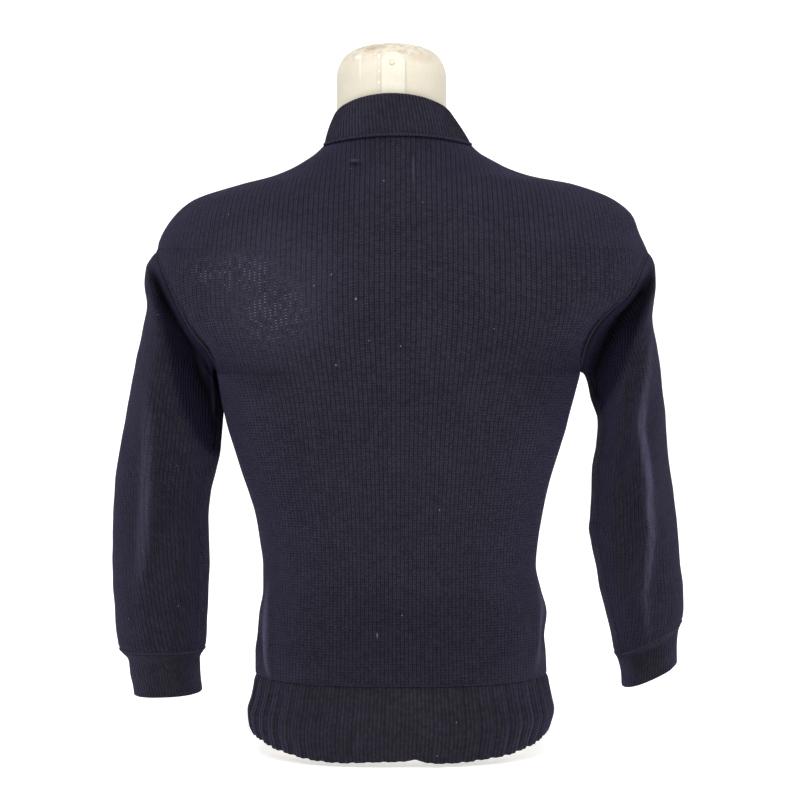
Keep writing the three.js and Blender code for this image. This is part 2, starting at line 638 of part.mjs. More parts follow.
// The collar stands on the neckline, and fine ribs run up it.
function collar() {
  const top = heights.length - 1;
  const places = [];
  for (let i = 0; i <= PANEL_COLUMNS; i += 1) places.push({ panel: back, i });
  for (let i = PANEL_COLUMNS - 1; i > 0; i -= 1) places.push({ panel: front, i });
  const onSeam = (i) => i === 0 || i === PANEL_COLUMNS;
  const neckline = places.map(({ panel, i }) => {
    const p = panel.rows[top][i].clone();
    return onSeam(i) ? p.setY(0) : p;
  });
  const neckNormals = places.map(({ panel, i }) => panel.normals[top][i].clone());
  const oval = (face) => spread(
    acrossFine.map((q) => {
      const rise = face > 0 ? COLLAR_TOP.backRise : -COLLAR_TOP.frontDrop;
      const depth = face > 0 ? COLLAR_TOP.back : COLLAR_TOP.front;
      const c = crown(q, 2, 2);
      return point(COLLAR_TOP.x + q * COLLAR_TOP.half, face * depth * c, COLLAR_TOP.z + rise * c);
    }),
    panelShares,
  );
  const upper = [...oval(1), ...oval(-1).reverse().slice(1, -1)];
  const rings = COLLAR_ROWS.map((v) => neckline.map((p, i) => p.clone().lerp(upper[i], v)));
  const normals = normalsOf(rings, true, -1);
  const below = places.map(({ panel, i }) => panel.rows[top - 1][i]);
  const joint = mitre(neckline, neckNormals, normals[0], below);
  joint.forEach(({ normal, start }, i) => {
    rings[0][i] = start;
    normals[0][i] = normal;
    const { panel, i: column } = places[i];
    panel.normals[top][column] = normal.clone();
  });
  for (const i of [0, PANEL_COLUMNS]) {
    for (const panel of [back, front]) panel.normals[top][i].setY(0).normalize();
    front.normals[top][i].copy(back.normals[top][i]);
  }
  const perColumn = COLLAR_RIBS_PER_COLUMN * 2;
  const outer = rings.map((ring, j) => {
    const made = [];
    ring.forEach((p, i) => {
      const next = (i + 1) % ring.length;
      for (let k = 0; k < perColumn; k += 1) {
        const t = k / perColumn;
        const normal = normals[j][i].clone().lerp(normals[j][next], t).normalize();
        const rise = j > 0 && (i * perColumn + k) % 2 ? COLLAR_RIB_RISE : 0;
        made.push(p.clone().lerp(ring[next], t).addScaledVector(normal, rise));
      }
    });
    return made;
  });
  return wall("collar", outer, inwards(rings, normals, COLLAR_CLOTH), {
    closed: true,
    facing: -1,
    colour: COLOURS.rib,
  });
}

// One half of the welt: 2x2 ribs raised over a plain inside.
function welt(name, face) {
  const depthName = face > 0 ? "back" : "front";
  const row = (down, shares, shrink) => {
    const line = acrossFine.map((q) => {
      const low = WELT_LOW + WELT_CURL * Math.pow(Math.abs(q), WELT_CURL_POWER);
      const z = mix(WELT_TOP - SEAM * 0.5, low, down);
      const half = atHeight(WELT, q > 0 ? "left" : "right", z) - shrink;
      const depth = atHeight(WELT, depthName, z) - shrink;
      return point(q * half, face * depth * crown(q, WELT_FLAT, WELT_ROUND), z);
    });
    return spread(line, shares);
  };
  const downwards = [...WELT_ROWS].reverse();
  const ribShares = [0];
  const ribRises = [0];
  for (let rib = 0; rib < WELT_RIBS; rib += 1) {
    for (const { at, rise } of WELT_RIB_PROFILE) {
      ribShares.push((rib + at) / WELT_RIBS);
      ribRises.push(rise * WELT_RIB_RISE);
    }
  }
  ribShares.push(1);
  ribRises.push(0);
  const plainShares = evenShares(WELT_RIBS);
  const settle = (rows) => {
    const normals = normalsOf(rows, false, -face);
    rows.forEach((line, j) => {
      for (const i of [0, line.length - 1]) {
        normals[j][i].setY(0).normalize();
        line[i].setY(face * SEAM * 0.5);
      }
    });
    normals[rows.length - 1].forEach((normal) => normal.setZ(0).normalize());
    return normals;
  };
  const ribbed = downwards.map((down) => row(down, ribShares, WELT_RIB_RISE));
  const ribNormals = settle(ribbed);
  const raised = (p, j, i) => p.clone().addScaledVector(ribNormals[j][i], ribRises[i]);
  const outer = ribbed.map((line, j) => line.map((p, i) => raised(p, j, i)));
  const plain = downwards.map((down) => row(down, plainShares, WELT_RIB_RISE));
  const plainNormals = settle(plain);
  return wall(name, outer, inwards(plain, plainNormals, WELT_CLOTH), {
    facing: -face,
    colour: COLOURS.rib,
    outerShares: ribShares,
    innerShares: plainShares,
  });
}

function panelWall(name, panel) {
  const inner = inwards(panel.rows, panel.normals, CLOTH);
  return wall(name, panel.rows, inner, { facing: -panel.face, outerEdgeFirst: panel.face > 0 });
}

// One level of the form: a row over the back and a row over the front, as on the panels.
function ovalLevel({ x = 0, z, half, back: rear, front: fore }, power) {
  const side = (face, depth) => {
    const line = acrossFine.map((q) => {
      const y = Math.max(FORM_SIDE, depth * crown(q, power, power));
      return point(x + q * half, face * y, z);
    });
    return spread(line, panelShares);
  };
  return { back: side(1, rear), front: side(-1, fore) };
}

// The form follows the inside of the cloth, row for row, and is flat at the armholes.
function dressForm() {
  const trunk = [];
  heights.forEach((z, j) => {
    if (j < tipRow - FORM_CLOSE_ROWS && j !== armpitRow && j % 2) return;
    const level = {};
    for (const panel of [back, front]) {
      const name = panel.face > 0 ? "back" : "front";
      const inset = CLOTH + atHeight(FORM_EASE, "ease", z);
      level[name] = panel.rows[j].map((p, i) => {
        const moved = p.clone().addScaledVector(panel.plain[j][i], -inset);
        if (j > armpitRow && j < tipRow) return moved;
        return moved.setY(panel.face * Math.max(FORM_SIDE, panel.face * moved.y));
      });
    }
    trunk.push(level);
  });
  const levels = [
    ...BASE.map((row) => ovalLevel(row, BASE_POWER)),
    ...trunk,
    ...NECK.map((row) => ovalLevel(row, 2)),
  ];
  const shell = new Shell();
  const rear = levels.map((level) => level.back);
  const fore = levels.map((level) => level.front);
  shell.skin(rear, false, true);
  shell.skin(fore, false, false);
  for (const [end, flip] of [[0, false], [PANEL_COLUMNS, true]]) {
    shell.skin(levels.map((level) => [level.front[end], level.back[end]]), false, !flip);
  }
  const ringOf = (level) => [...level.back, ...[...level.front].reverse()];
  shell.fan(ringOf(levels[0]), point(0, 0, 0), false);
  shell.fan(ringOf(levels[levels.length - 1]), point(NECK_TOP.x, 0, NECK_TOP.z), true);
  return shell.mesh("dress_form", COLOURS.form, PAINT_ROUGHNESS);
}

// A point of the neck's back at a distance from its middle, and how far it stands proud.
function neckBack(x, z, proud) {
  const middle = atHeight(NECK, "x", z);
  const half = atHeight(NECK, "half", z);
  const rear = atHeight(NECK, "back", z);
  const y = rear * crown((x - middle) / half, 2, 2);
  const out = point((x - middle) / (half * half), y / (rear * rear), 0).normalize();
  const slope = (atHeight(NECK, "back", z + 1) - atHeight(NECK, "back", z - 1)) / 2;
  out.setZ(-slope).normalize();
  return point(x, y, z).addScaledVector(out, proud);
}

function strapPlate() {
  const rows = (proud) => evenShares(STRAP.rows).map((t) => {
    const z = mix(STRAP.low, STRAP.high, t);
    const rise = Math.max(0, z - (STRAP.high - STRAP.cornerRise)) / STRAP.cornerRise;
    const half = Math.max(STRAP.topHalf, STRAP.half * crown(rise, 2, 2));
    return evenShares(STRAP.columns).map((s) => neckBack(STRAP.x + half * (2 * s - 1), z, proud));
  });
  return wall("neck_strap", rows(STRAP.proud + STRAP.thick), rows(STRAP.proud), {
    facing: -1,
    colour: COLOURS.strap,
  });
}

function strapScrew() {
  const profile = [
    new THREE.Vector2(0, 0),
    new THREE.Vector2(SCREW.radius, 0),
    new THREE.Vector2(SCREW.radius, SCREW.rimRise),
    new THREE.Vector2(SCREW.crownRadius, SCREW.crownRise),
    new THREE.Vector2(0, SCREW.rise),
  ];
  const geometry = new THREE.LatheGeometry(profile, SCREW.sides);
  const material = new THREE.MeshStandardMaterial({ color: COLOURS.screw, roughness: 0.4, metalness: 0.8 });
  const screw = new THREE.Mesh(geometry, material);
  screw.name = "strap_screw";
  const seat = STRAP.proud + STRAP.thick;
  const foot = neckBack(SCREW.x, SCREW.z, seat + SCREW.proud);
  const out = foot.clone().sub(neckBack(SCREW.x, SCREW.z, seat)).normalize();
  screw.position.copy(foot);
  screw.quaternion.setFromUnitVectors(point(0, 1, 0), out);
  return screw;
}

const sweater = new THREE.Group();
sweater.name = "naval_sweater_on_dress_form";
sweater.add(...sleeve("left", SLEEVES.left), ...sleeve("right", SLEEVES.right));
sweater.add(collar());
sweater.add(panelWall("back_panel", back), panelWall("front_panel", front));
sweater.add(welt("welt_back", 1), welt("welt_front", -1));
sweater.add(dressForm(), strapPlate(), strapScrew());

export default sweater;
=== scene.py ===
"""A knitted naval sweater on a limbless dress form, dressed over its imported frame."""

import math

import bmesh
import bpy
import numpy as np
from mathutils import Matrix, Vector, noise


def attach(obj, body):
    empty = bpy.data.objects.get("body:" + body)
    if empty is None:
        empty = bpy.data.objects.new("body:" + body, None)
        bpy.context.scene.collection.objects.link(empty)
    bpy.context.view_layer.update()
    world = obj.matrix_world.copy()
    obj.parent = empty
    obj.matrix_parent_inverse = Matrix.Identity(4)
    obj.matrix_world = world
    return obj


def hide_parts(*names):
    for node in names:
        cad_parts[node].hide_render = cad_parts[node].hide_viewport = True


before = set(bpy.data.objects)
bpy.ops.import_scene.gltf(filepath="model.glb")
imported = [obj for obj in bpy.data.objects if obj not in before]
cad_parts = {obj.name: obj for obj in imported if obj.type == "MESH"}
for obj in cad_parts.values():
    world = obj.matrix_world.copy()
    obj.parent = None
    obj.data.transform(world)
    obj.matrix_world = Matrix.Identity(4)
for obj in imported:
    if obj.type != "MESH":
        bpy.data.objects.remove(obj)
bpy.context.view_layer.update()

bl_info = {
    "name": "Naval sweater on a dress form",
    "version": (1, 0, 0),
    "blender": (4, 5, 0),
    "location": "View3D > Sidebar > Sweater",
    "description": "Knitted wool pullover with a stand collar, ribbed welt and cuffs, on a dress form",
    "category": "Object",
}

MM = 0.001

# The tables repeat the part's own sizes in millimetres, with the height in the first column.
ARMPIT = 380
SHOULDER_TIP = 502
NECK_POINT = 606
FORM_SHOULDER = 597.5
WELT_TOP = 80
FRONT_NECK_DROP = 25
BACK_NECK_RISE = 6
NECK_DROP_STARTS = 520

# Columns: height, left and right half widths, back and front depths, the two powers of the section.
LEFT, RIGHT, BACK, FRONT, FLAT, ROUND = 1, 2, 3, 4, 5, 6
BODY = (
    (80, 145, 147, 98, 106, 2.5, 2.1),
    (100, 145, 146, 97, 107, 2.5, 2.1),
    (115, 143, 144.5, 94, 106, 2.5, 2.1),
    (138, 141, 147, 91, 104, 2.5, 2.1),
    (162, 137, 141, 88, 102, 2.5, 2.1),
    (186, 137, 136, 87, 102, 2.5, 2.1),
    (210, 140, 138, 88, 103, 2.5, 2.1),
    (235, 144, 142, 91, 106, 2.5, 2.1),
    (260, 151, 147, 95, 110, 2.55, 2.2),
    (283, 159, 153, 99, 115, 2.6, 2.3),
    (306, 166, 160, 103, 120, 2.7, 2.45),
    (330, 173, 167, 107, 126, 2.8, 2.6),
    (355, 178, 173, 110, 130, 2.9, 2.75),
    (ARMPIT, 181, 178, 113, 132, 3, 2.9),
    (400, 187, 180, 114.5, 132, 3, 2.9),
    (420, 202, 187, 115, 131, 3, 2.9),
    (440, 213, 203, 114, 129, 3, 2.9),
    (455, 220, 220, 112, 126, 3, 2.9),
    (470, 227, 230, 109.5, 121, 2.95, 2.85),
    (485, 234, 237, 106, 114, 2.85, 2.7),
    (SHOULDER_TIP, 241, 245, 101, 106, 2.6, 2.4),
    (510.5, 239.5, 241.5, 98, 102, 2.45, 2.25),
    (518.5, 236, 238, 94.5, 98, 2.25, 2.1),
    (534.5, 225, 232, 87, 89, 1.95, 1.85),
    (550.5, 206, 214, 79, 81, 1.7, 1.6),
    (566.5, 158, 173, 71, 74, 1.7, 1.35),
    (574.5, 127, 131, 66.5, 71, 1.75, 1.4),
    (582.5, 107, 107, 62, 68, 1.85, 1.5),
    (590, 94, 92.5, 58, 65, 1.95, 1.7),
    (597.5, 83, 79, 54.5, 62.5, 2.05, 1.85),
    (NECK_POINT, 74.5, 70, 53.8, 61.8, 2.1, 1.9),
)

# Columns: height, how far the armhole's edge stands from the middle plane at the back and in front.
REACH_BACK, REACH_FRONT = 1, 2
ARMHOLE = (
    (ARMPIT, 0, 0),
    (383, 20, 20),
    (390, 40, 42),
    (404, 56, 60),
    (422, 64, 68),
    (445, 67, 70),
    (465, 63, 64),
    (482, 51, 51),
    (494, 34, 34),
    (500, 17, 17),
    (SHOULDER_TIP, 0, 0),
)

# Columns: height, left and right half widths, back and front depths.
WELT = (
    (0, 144, 144, 98, 106),
    (8, 145, 144, 101, 109),
    (18, 147.5, 146.5, 103, 111),
    (30, 152.5, 151.5, 104, 112),
    (42, 153.5, 154.5, 104, 112),
    (54, 150, 152, 102, 110),
    (67, 147, 149, 100, 108),
    (WELT_TOP, 145, 147, 98, 106),
)
WELT_FLAT = 2.5
WELT_ROUND = 2.1
WELT_LOW = 6
WELT_CURL = 17
WELT_CURL_POWER = 6

# Sleeve outlines from behind: height and distance from the middle plane.
# Rings: share of the length, inner and outer height, depth behind and before the middle, the middle.
# Folds: height, distance from the middle plane, half width and rise.
# Cuffs: share of the length, inner and outer height, inner and outer distance, back, front, middle.
SLEEVES = {
    "left": {
        "side": 1,
        "outer": (
            (101, 283), (115, 285), (138, 287), (186, 289), (234, 288), (282, 284), (330, 276),
            (366, 269), (402, 261), (426, 256), (450, 252), (470, 254), (486, 252), (494, 247.5),
            (SHOULDER_TIP, 241),
        ),
        "inner": (
            (101, 196), (138, 194), (186, 192), (234, 192), (258, 190), (282, 184), (306, 179.5),
            (330, 178.3), (352, 179.2), (366, 181.2), (374, 183.8), (378.5, 184), (ARMPIT, 181),
        ),
        "rings": (
            (0, ARMPIT, SHOULDER_TIP, 64, 66, 0),
            (0.06, 378.5, 493, 64, 66, 0),
            (0.14, 371, 474, 64, 66, 0),
            (0.3, 348, 420, 61, 64, -1),
            (0.45, 312, 348, 57, 60, -3),
            (0.6, 264, 276, 53, 56, -5),
            (0.75, 206, 209, 50, 53, -7),
            (0.9, 141, 141, 47, 49, -9),
            (1, 101.5, 101, 43, 45, -9),
        ),
        "folds": (
            (
                (286, 183, 10, 0), (305, 185, 11, -6), (335, 191, 14, -18), (365, 198, 16, -28),
                (400, 206, 15, -30), (435, 221, 13, -25), (460, 233, 11, -16), (482, 241, 10, -6),
                (496, 246, 9, 0),
            ),
            (
                (130, 257, 12, 0), (196, 254, 9, 5), (255, 249, 8, 6), (323, 246, 8, 6),
                (367, 244, 9, 5), (420, 240, 9, 0),
            ),
        ),
        "cuff": (
            (0, 101.5, 101, 196, 283, 43, 45, -9),
            (0.25, 91, 91, 201.5, 274.5, 38, 40, -9),
            (0.6, 75, 74, 202, 271.5, 36, 38, -9),
            (1, 59.5, 56, 200, 268, 36, 38, -9),
        ),
    },
    "right": {
        "side": -1,
        "outer": (
            (130, 284), (140, 285), (162, 285), (186, 282), (210, 280), (258, 274.5), (306, 268),
            (354, 263.5), (402, 257), (438, 251), (450, 252), (470, 254), (486, 253), (494, 250.5),
            (SHOULDER_TIP, 245),
        ),
        "inner": (
            (96, 216), (114, 213), (138, 207), (162, 201), (186, 197), (210, 192), (222, 189.5),
            (234, 191), (282, 193), (306, 197), (330, 198), (354, 190.5), (366, 188), (374, 185.5),
            (378.3, 183), (ARMPIT, 178),
        ),
        "rings": (
            (0, ARMPIT, SHOULDER_TIP, 64, 66, 0),
            (0.06, 378, 493, 64, 66, 0),
            (0.14, 369, 474, 64, 66, 0),
            (0.3, 344, 420, 62, 64, -1),
            (0.45, 304, 350, 59, 61, -3),
            (0.6, 254, 284, 57, 58, -5),
            (0.75, 197, 224, 54, 55, -7),
            (0.9, 135, 166, 50, 51, -9),
            (1, 96, 130, 44, 46, -9),
        ),
        "folds": (
            (
                (326, 198, 10, 0), (340, 196, 10, -7), (366, 197, 12, -20), (400, 201, 15, -30),
                (440, 219, 14, -27), (468, 239, 11, -15), (484, 244, 10, -6), (496, 248, 9, 0),
            ),
            (
                (116, 241, 10, 0), (140, 241, 10, 3), (185, 241, 8, 6), (222, 245, 7, 8),
                (253, 246, 7, 8), (277, 241, 7, 8), (332, 234, 7, 9), (371, 239, 7, 8),
                (401, 240, 7, 7), (428, 247, 6, 5), (452, 246, 7, 0),
            ),
        ),
        "cuff": (
            (0, 96, 130, 216, 284, 44, 46, -9),
            (0.25, 89, 120, 220, 280, 38, 40, -9),
            (0.6, 78, 105, 222.5, 279.5, 37, 38, -9),
            (1, 64, 88, 224, 279, 37, 38, -9),
        ),
    },
}
SLEEVE_FLAT = 2.2
SLEEVE_ROUND = 2.1
SLEEVE_FRONT_SHARE = 0.75
SLEEVE_SETTLES = 0.3
FOLD_STARTS = 11

# The collar's upper edge: its middle, half width, depths and height, higher at the back than in front.
COLLAR_TOP = {"x": 6.8, "half": 59, "back": 52.3, "front": 59, "z": 629.5, "rise": 22, "drop": 13}
COLLAR_BELLY = 1.2

# Columns: height, middle, half width, back and front depths of the form's neck.
NECK_MIDDLE, NECK_HALF, NECK_BACK = 1, 2, 3
NECK = (
    (603, 4, 62, 48.5, 56),
    (613, 5.7, 57.5, 46.8, 54.6),
    (626, 7.4, 54.5, 46, 54),
    (645, 8.3, 54.5, 46, 54),
    (673, 8.5, 54.5, 46, 53.5),
    (682, 8.5, 52.7, 44.4, 51.6),
    (690, 8.5, 48.8, 41.2, 47.8),
    (696, 8.3, 43, 36.5, 42),
    (701.5, 8, 33, 28, 32),
    (705, 8, 19, 16, 18.5),
)
STRAP = {"x": 6.6, "half": 11.3, "low": 638, "high": 693, "corner": 9, "proud": 0.6, "thick": 1.2}
STRAP_EDGE = 0.4
STRAP_ROWS = 34
STRAP_COLUMNS = 15
SCREW = {"x": 7.8, "z": 683, "radius": 2.6, "rise": 1.1, "proud": 0.3}
SCREW_EDGE = 0.5
SCREW_RECESS = 0.35
SCREW_RIM = 1.17

# Inside the cloth, columns: height and how far the form lies within it.
FORM_EASE = (
    (WELT_TOP, 10.5),
    (115, 8),
    (186, 6),
    (260, 5),
    (330, 3),
    (ARMPIT, 2.4),
    (440, 2),
    (490, 1.9),
    (SHOULDER_TIP, 1.7),
    (516, 0.7),
    (570, 0.7),
    (FORM_SHOULDER, 2),
)
FORM_SIDE = 0.15

# Columns: height, half width, back and front depths of the form's base.
FORM_BASE = (
    (0, 108, 43, 45),
    (5, 117, 54, 57),
    (16, 126, 67, 72),
    (34, 131, 78, 84),
    (58, 132.5, 83, 90),
)
FORM_BASE_POWER = 2.4
NECK_TOP = (8, 706)
# The ring just below the top is lifted this much, so that the dome stays round.
NECK_CROWN = 0.25

# Walls of the knitting, and the widths of its wales and ribs.
CLOTH = 2.5
CUFF_WALL = 3.0
SLEEVE_WALE = 4.2
CUFF_RIB = 3.0
COLLAR_RIBS_PER_HALF = 54
WELT_RIBS = 26
WELT_RIB_RISE = 2.2

# The cloth dips this deep and this wide along its seams.
SEAM_DEPTH = 1.1
SEAM_WIDTH = 2.6

# Each seam's roll of yarn: its radius, the length of a stitch, and how far its core stands proud.
SEAMS = {
    "side": (1.0, 2.75, -0.6),
    "shoulder": (1.0, 2.75, -0.6),
    "armhole": (1.1, 2.75, -0.7),
    "sleeve": (1.2, 2.75, 0.1),
    "cuff": (1.3, 2.75, -0.2),
    "collar": (1.5, 3.2, 0.5),
    "welt": (0.9, 2.75, -0.75),
}
ROLL_SIDES = 8
# How far the armhole's seam turns towards the sleeve.
ARMHOLE_TURN = 0.6

# The slow swellings that washing has left in each piece: their width and height.
SWELLINGS = {
    "body": (26, 0.7),
    "sleeve": (22, 0.7),
    "cuff": (16, 0.9),
    "collar": (24, 0.5),
    "welt": (30, 0.8),
}

# How much darker than the body the sleeves, the cuffs and the welt are painted: painted shade, laid over
# each piece evenly.
SLEEVE_PAINTED_SHADE = 0.17
CUFF_PAINTED_SHADE = 0.27
WELT_PAINTED_SHADE = 0.2

# How many columns and rows the knitted shells have.
PANEL_COLUMNS = 96
PANEL_CROWDING = 0.4
SIDE_ROWS = 62
ARMHOLE_ROWS = 40
SHOULDER_ROWS = 30
SLEEVE_RINGS = 112
RING_CROWDING = 1.25
CUFF_RINGS = 14
COLLAR_RIB_STEPS = 8
COLLAR_ROWS = 20
WELT_RIB_STEPS = 10
WELT_ROWS = 26
# Each row is first worked out in this many steps.
FINE = 240

# The stretches of a panel's edge, as rows: side seam, armhole and shoulder seam.
SIDE_STRETCH = slice(0, SIDE_ROWS + 1)
ARMHOLE_STRETCH = slice(SIDE_ROWS, SIDE_ROWS + ARMHOLE_ROWS + 1)
SHOULDER_STRETCH = slice(SIDE_ROWS + ARMHOLE_ROWS, None)


# Shape helpers, in millimetres

def along(table, column, value):
    """Smooth value of a table's column at a place in its first column, with no overshoot."""
    rows = np.array(table, float)
    place = rows[:, 0]
    held = rows[:, column]
    slope = np.diff(held) / np.diff(place)
    product = slope[:-1] * slope[1:]
    total = slope[:-1] + slope[1:]
    bend = np.where(product > 0, 2 * product / np.where(total == 0, 1, total), 0)
    tangent = np.concatenate((slope[:1], bend, slope[-1:]))
    at = np.clip(value, place[0], place[-1])
    i = np.clip(np.searchsorted(place, at) - 1, 0, len(slope) - 1)
    step = place[i + 1] - place[i]
    t = (at - place[i]) / step
    t2 = t * t
    t3 = t2 * t
    start = (2 * t3 - 3 * t2 + 1) * held[i] + (t3 - 2 * t2 + t) * step * tangent[i]
    return start + (3 * t2 - 2 * t3) * held[i + 1] + (t3 - t2) * step * tangent[i + 1]


def smooth(value):
    """Eases from 0 to 1."""
    t = np.clip(value, 0, 1)
    return t * t * (3 - 2 * t)


def mix(a, b, t):
    """Blends a to b."""
    return a + (b - a) * t


def crown(q, flat, rounding):
    """Height of the rounded profile at q, from 1 in the middle to 0 at both ends."""
    return np.maximum(0, 1 - np.abs(q) ** flat) ** (1 / rounding)


def spread(line, shares):
    """Points along a polyline at the given shares of its length."""
    steps = np.linalg.norm(np.diff(line, axis=0), axis=1)
    length = np.concatenate(([0], np.cumsum(steps)))
    want = np.asarray(shares) * length[-1]
    return np.stack([np.interp(want, length, line[:, k]) for k in range(3)], axis=1)


def even(count):
    """Even shares from 0 to 1."""
    return np.linspace(0, 1, count + 1)


ACROSS = np.sin((even(FINE) - 0.5) * math.pi)
PANEL_SHARES = mix(even(PANEL_COLUMNS), (1 - np.cos(math.pi * even(PANEL_COLUMNS))) / 2, PANEL_CROWDING)


def neck_shift(face, height):
    """How far a row's middle lies above its ends, near the neck."""
    drop = BACK_NECK_RISE if face > 0 else -FRONT_NECK_DROP
    return drop * smooth((height - NECK_DROP_STARTS) / (NECK_POINT - NECK_DROP_STARTS))


def body_row(face, height, shares):
    """One row of a body panel, from the wearer's right edge to the left."""
    column = BACK if face > 0 else FRONT
    reach = along(ARMHOLE, REACH_BACK if face > 0 else REACH_FRONT, height)
    flat = along(BODY, FLAT, height)
    rounding = along(BODY, ROUND, height)
    cut = (1 - (reach / along(BODY, column, height)) ** rounding) ** (1 / flat)
    z = height + neck_shift(face, height) * (1 - ACROSS * ACROSS)
    y = face * along(BODY, column, z) * crown(ACROSS * cut, flat, rounding)
    x = ACROSS * np.where(ACROSS > 0, along(BODY, LEFT, height), along(BODY, RIGHT, height))
    return spread(np.stack([x, y, z], axis=1), shares)


def row_heights():
    """Heights of the panel's rows, even along the side seam, the armhole and the shoulder seam."""
    heights = []
    stretches = (
        (WELT_TOP, ARMPIT, SIDE_ROWS),
        (ARMPIT, SHOULDER_TIP, ARMHOLE_ROWS),
        (SHOULDER_TIP, NECK_POINT, SHOULDER_ROWS),
    )
    for low, high, count in stretches:
        z = mix(low, high, even(FINE))
        edge = np.stack([along(BODY, LEFT, z), along(ARMHOLE, REACH_BACK, z), z], axis=1)
        made = spread(edge, even(count))[:, 2]
        heights.extend(made if not heights else made[1:])
    return np.array(heights)


def normals_of(grid, closed):
    """Unit normals of a grid of points; a closed grid repeats its first column as its last."""
    across = np.gradient(grid, axis=1)
    if closed:
        seam = (grid[:, 1] - grid[:, -2]) / 2
        across[:, 0] = seam
        across[:, -1] = seam
    up = np.gradient(grid, axis=0)
    normals = np.cross(across, up)
    return normals / np.maximum(np.linalg.norm(normals, axis=2, keepdims=True), 1e-9)


def outward(grid, closed, towards):
    """The normals, turned so that they point the way that towards says."""
    normals = normals_of(grid, closed)
    return normals if np.sum(normals * towards) > 0 else -normals


def crease_rise(x, z, creases):
    """Height of soft ridges and troughs that run along polylines and fade at both ends."""
    total = np.zeros_like(x)
    for path, half, rise in creases:
        nearest = np.full_like(x, np.inf)
        share = np.zeros_like(x)
        last = len(path) - 1
        for k in range(last):
            x0, z0 = path[k]
            dx = path[k + 1][0] - x0
            dz = path[k + 1][1] - z0
            t = np.clip(((x - x0) * dx + (z - z0) * dz) / (dx * dx + dz * dz), 0, 1)
            away = np.hypot(x - x0 - t * dx, z - z0 - t * dz)
            closer = away < nearest
            nearest = np.where(closer, away, nearest)
            share = np.where(closer, (k + t) / last, share)
        total += rise * np.sin(math.pi * share) * np.exp(-((nearest / half) ** 2))
    return total


def arc(grid, axis):
    """Length run along each row or column of a grid."""
    steps = np.linalg.norm(np.diff(grid, axis=axis), axis=2)
    pad = [(0, 0), (0, 0)]
    pad[axis] = (1, 0)
    return np.cumsum(np.pad(steps, pad), axis=axis)


def unevenness(grid, part):
    """Slow, uneven swelling of hand-washed wool, as a height for each point of a grid."""
    size, rise = SWELLINGS[part]
    flat = grid.reshape(-1, 3) / size
    values = [noise.noise(Vector(p)) for p in flat]
    return rise * np.array(values).reshape(grid.shape[:2])


def from_edges(grid, *sides):
    """Distance from the nearest of a grid's named edges: first, last, low and high."""
    across = arc(grid, 1)
    up = arc(grid, 0)
    away = {
        "first": across,
        "last": across[:, -1:] - across,
        "low": up,
        "high": up[-1:] - up,
    }
    return np.minimum.reduce([away[side] for side in sides or away])


def seam_dip(grid, *sides):
    """Cloth drawn down beside the seams along the named edges."""
    return -SEAM_DEPTH * np.exp(-((from_edges(grid, *sides) / SEAM_WIDTH) ** 2))


def lifted(grid, normals, rise):
    """The grid, moved along its normals."""
    return grid + normals * rise[..., None]


# Mesh helpers

def link_mesh(name, bm):
    """Makes a bmesh into an object of the scene."""
    mesh = bpy.data.meshes.new(name)
    bm.to_mesh(mesh)
    bm.free()
    piece = bpy.data.objects.new(name, mesh)
    bpy.context.scene.collection.objects.link(piece)
    return piece


def grid_piece(name, grid, stitches, towards, closed=False, capped=False, depth=None):
    """A smooth surface on a grid of points in millimetres, its knit laid out on its own UV map.

    depth says how much painted shade each point takes, from 0 to 1, and below 0 how strong a painted
    highlight it takes.
    """
    rows, columns = grid.shape[:2]
    bm = bmesh.new()
    knit = bm.loops.layers.uv.new("knit")
    painted_light = bm.verts.layers.float.new("painted_shade_and_highlight")
    bmesh.ops.create_grid(bm, x_segments=columns - 1, y_segments=rows - 1, size=0.5)
    bm.verts.ensure_lookup_table()
    where = {}
    for vertex in bm.verts:
        i = round((vertex.co.x + 0.5) * (columns - 1))
        j = round((vertex.co.y + 0.5) * (rows - 1))
        where[vertex] = (j, i)
    for face in bm.faces:
        face.smooth = True
        for loop in face.loops:
            loop[knit].uv = stitches[where[loop.vert]]
    for vertex, (j, i) in where.items():
        vertex.co = grid[j, i] * MM
        if depth is not None:
            vertex[painted_light] = depth[j, i]
    bm.normal_update()
    facing = sum(face.normal.dot(Vector(towards[where[face.verts[0]]])) for face in bm.faces)
    if facing < 0:
        bmesh.ops.reverse_faces(bm, faces=bm.faces)
    if closed:
        bmesh.ops.remove_doubles(bm, verts=bm.verts, dist=1e-6)
    if capped:
        rims = [edge for edge in bm.edges if edge.is_boundary]
        bmesh.ops.holes_fill(bm, edges=rims, sides=0)
    return link_mesh(name, bm)


def give_thickness(piece, thickness):
    """Gives a sheet its real thickness, inwards."""
    wall = piece.modifiers.new("cloth", "SOLIDIFY")
    wall.thickness = thickness * MM
    wall.offset = -1
    wall.use_rim = True
    wall.use_even_offset = False


def dress(piece, material, nodes=()):
    """Puts a finish on a piece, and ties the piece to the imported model."""
    piece.data.materials.append(material)
    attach(piece, "root")
    if nodes:
        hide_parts(*nodes)
    return piece


def doubled(grid, normals, thickness, lip_rows=6, inner_rows=8):
    """A wall turned over its last row: the outside, a round lip, and the inside back to the start."""
    radius = thickness / 2
    up = grid[-1] - grid[-2]
    up = up / np.linalg.norm(up, axis=1, keepdims=True)
    rows = list(grid)
    for angle in np.linspace(0, math.pi, lip_rows + 1)[1:]:
        inward = radius * (1 - math.cos(angle))
        rows.append(grid[-1] - normals[-1] * inward + up * radius * math.sin(angle))
    last = len(grid) - 1
    for j in np.linspace(last, 0, inner_rows + 1)[1:]:
        k = int(round(j))
        rows.append(grid[k] - normals[k] * thickness)
    rows.append(grid[0])
    return np.array(rows)


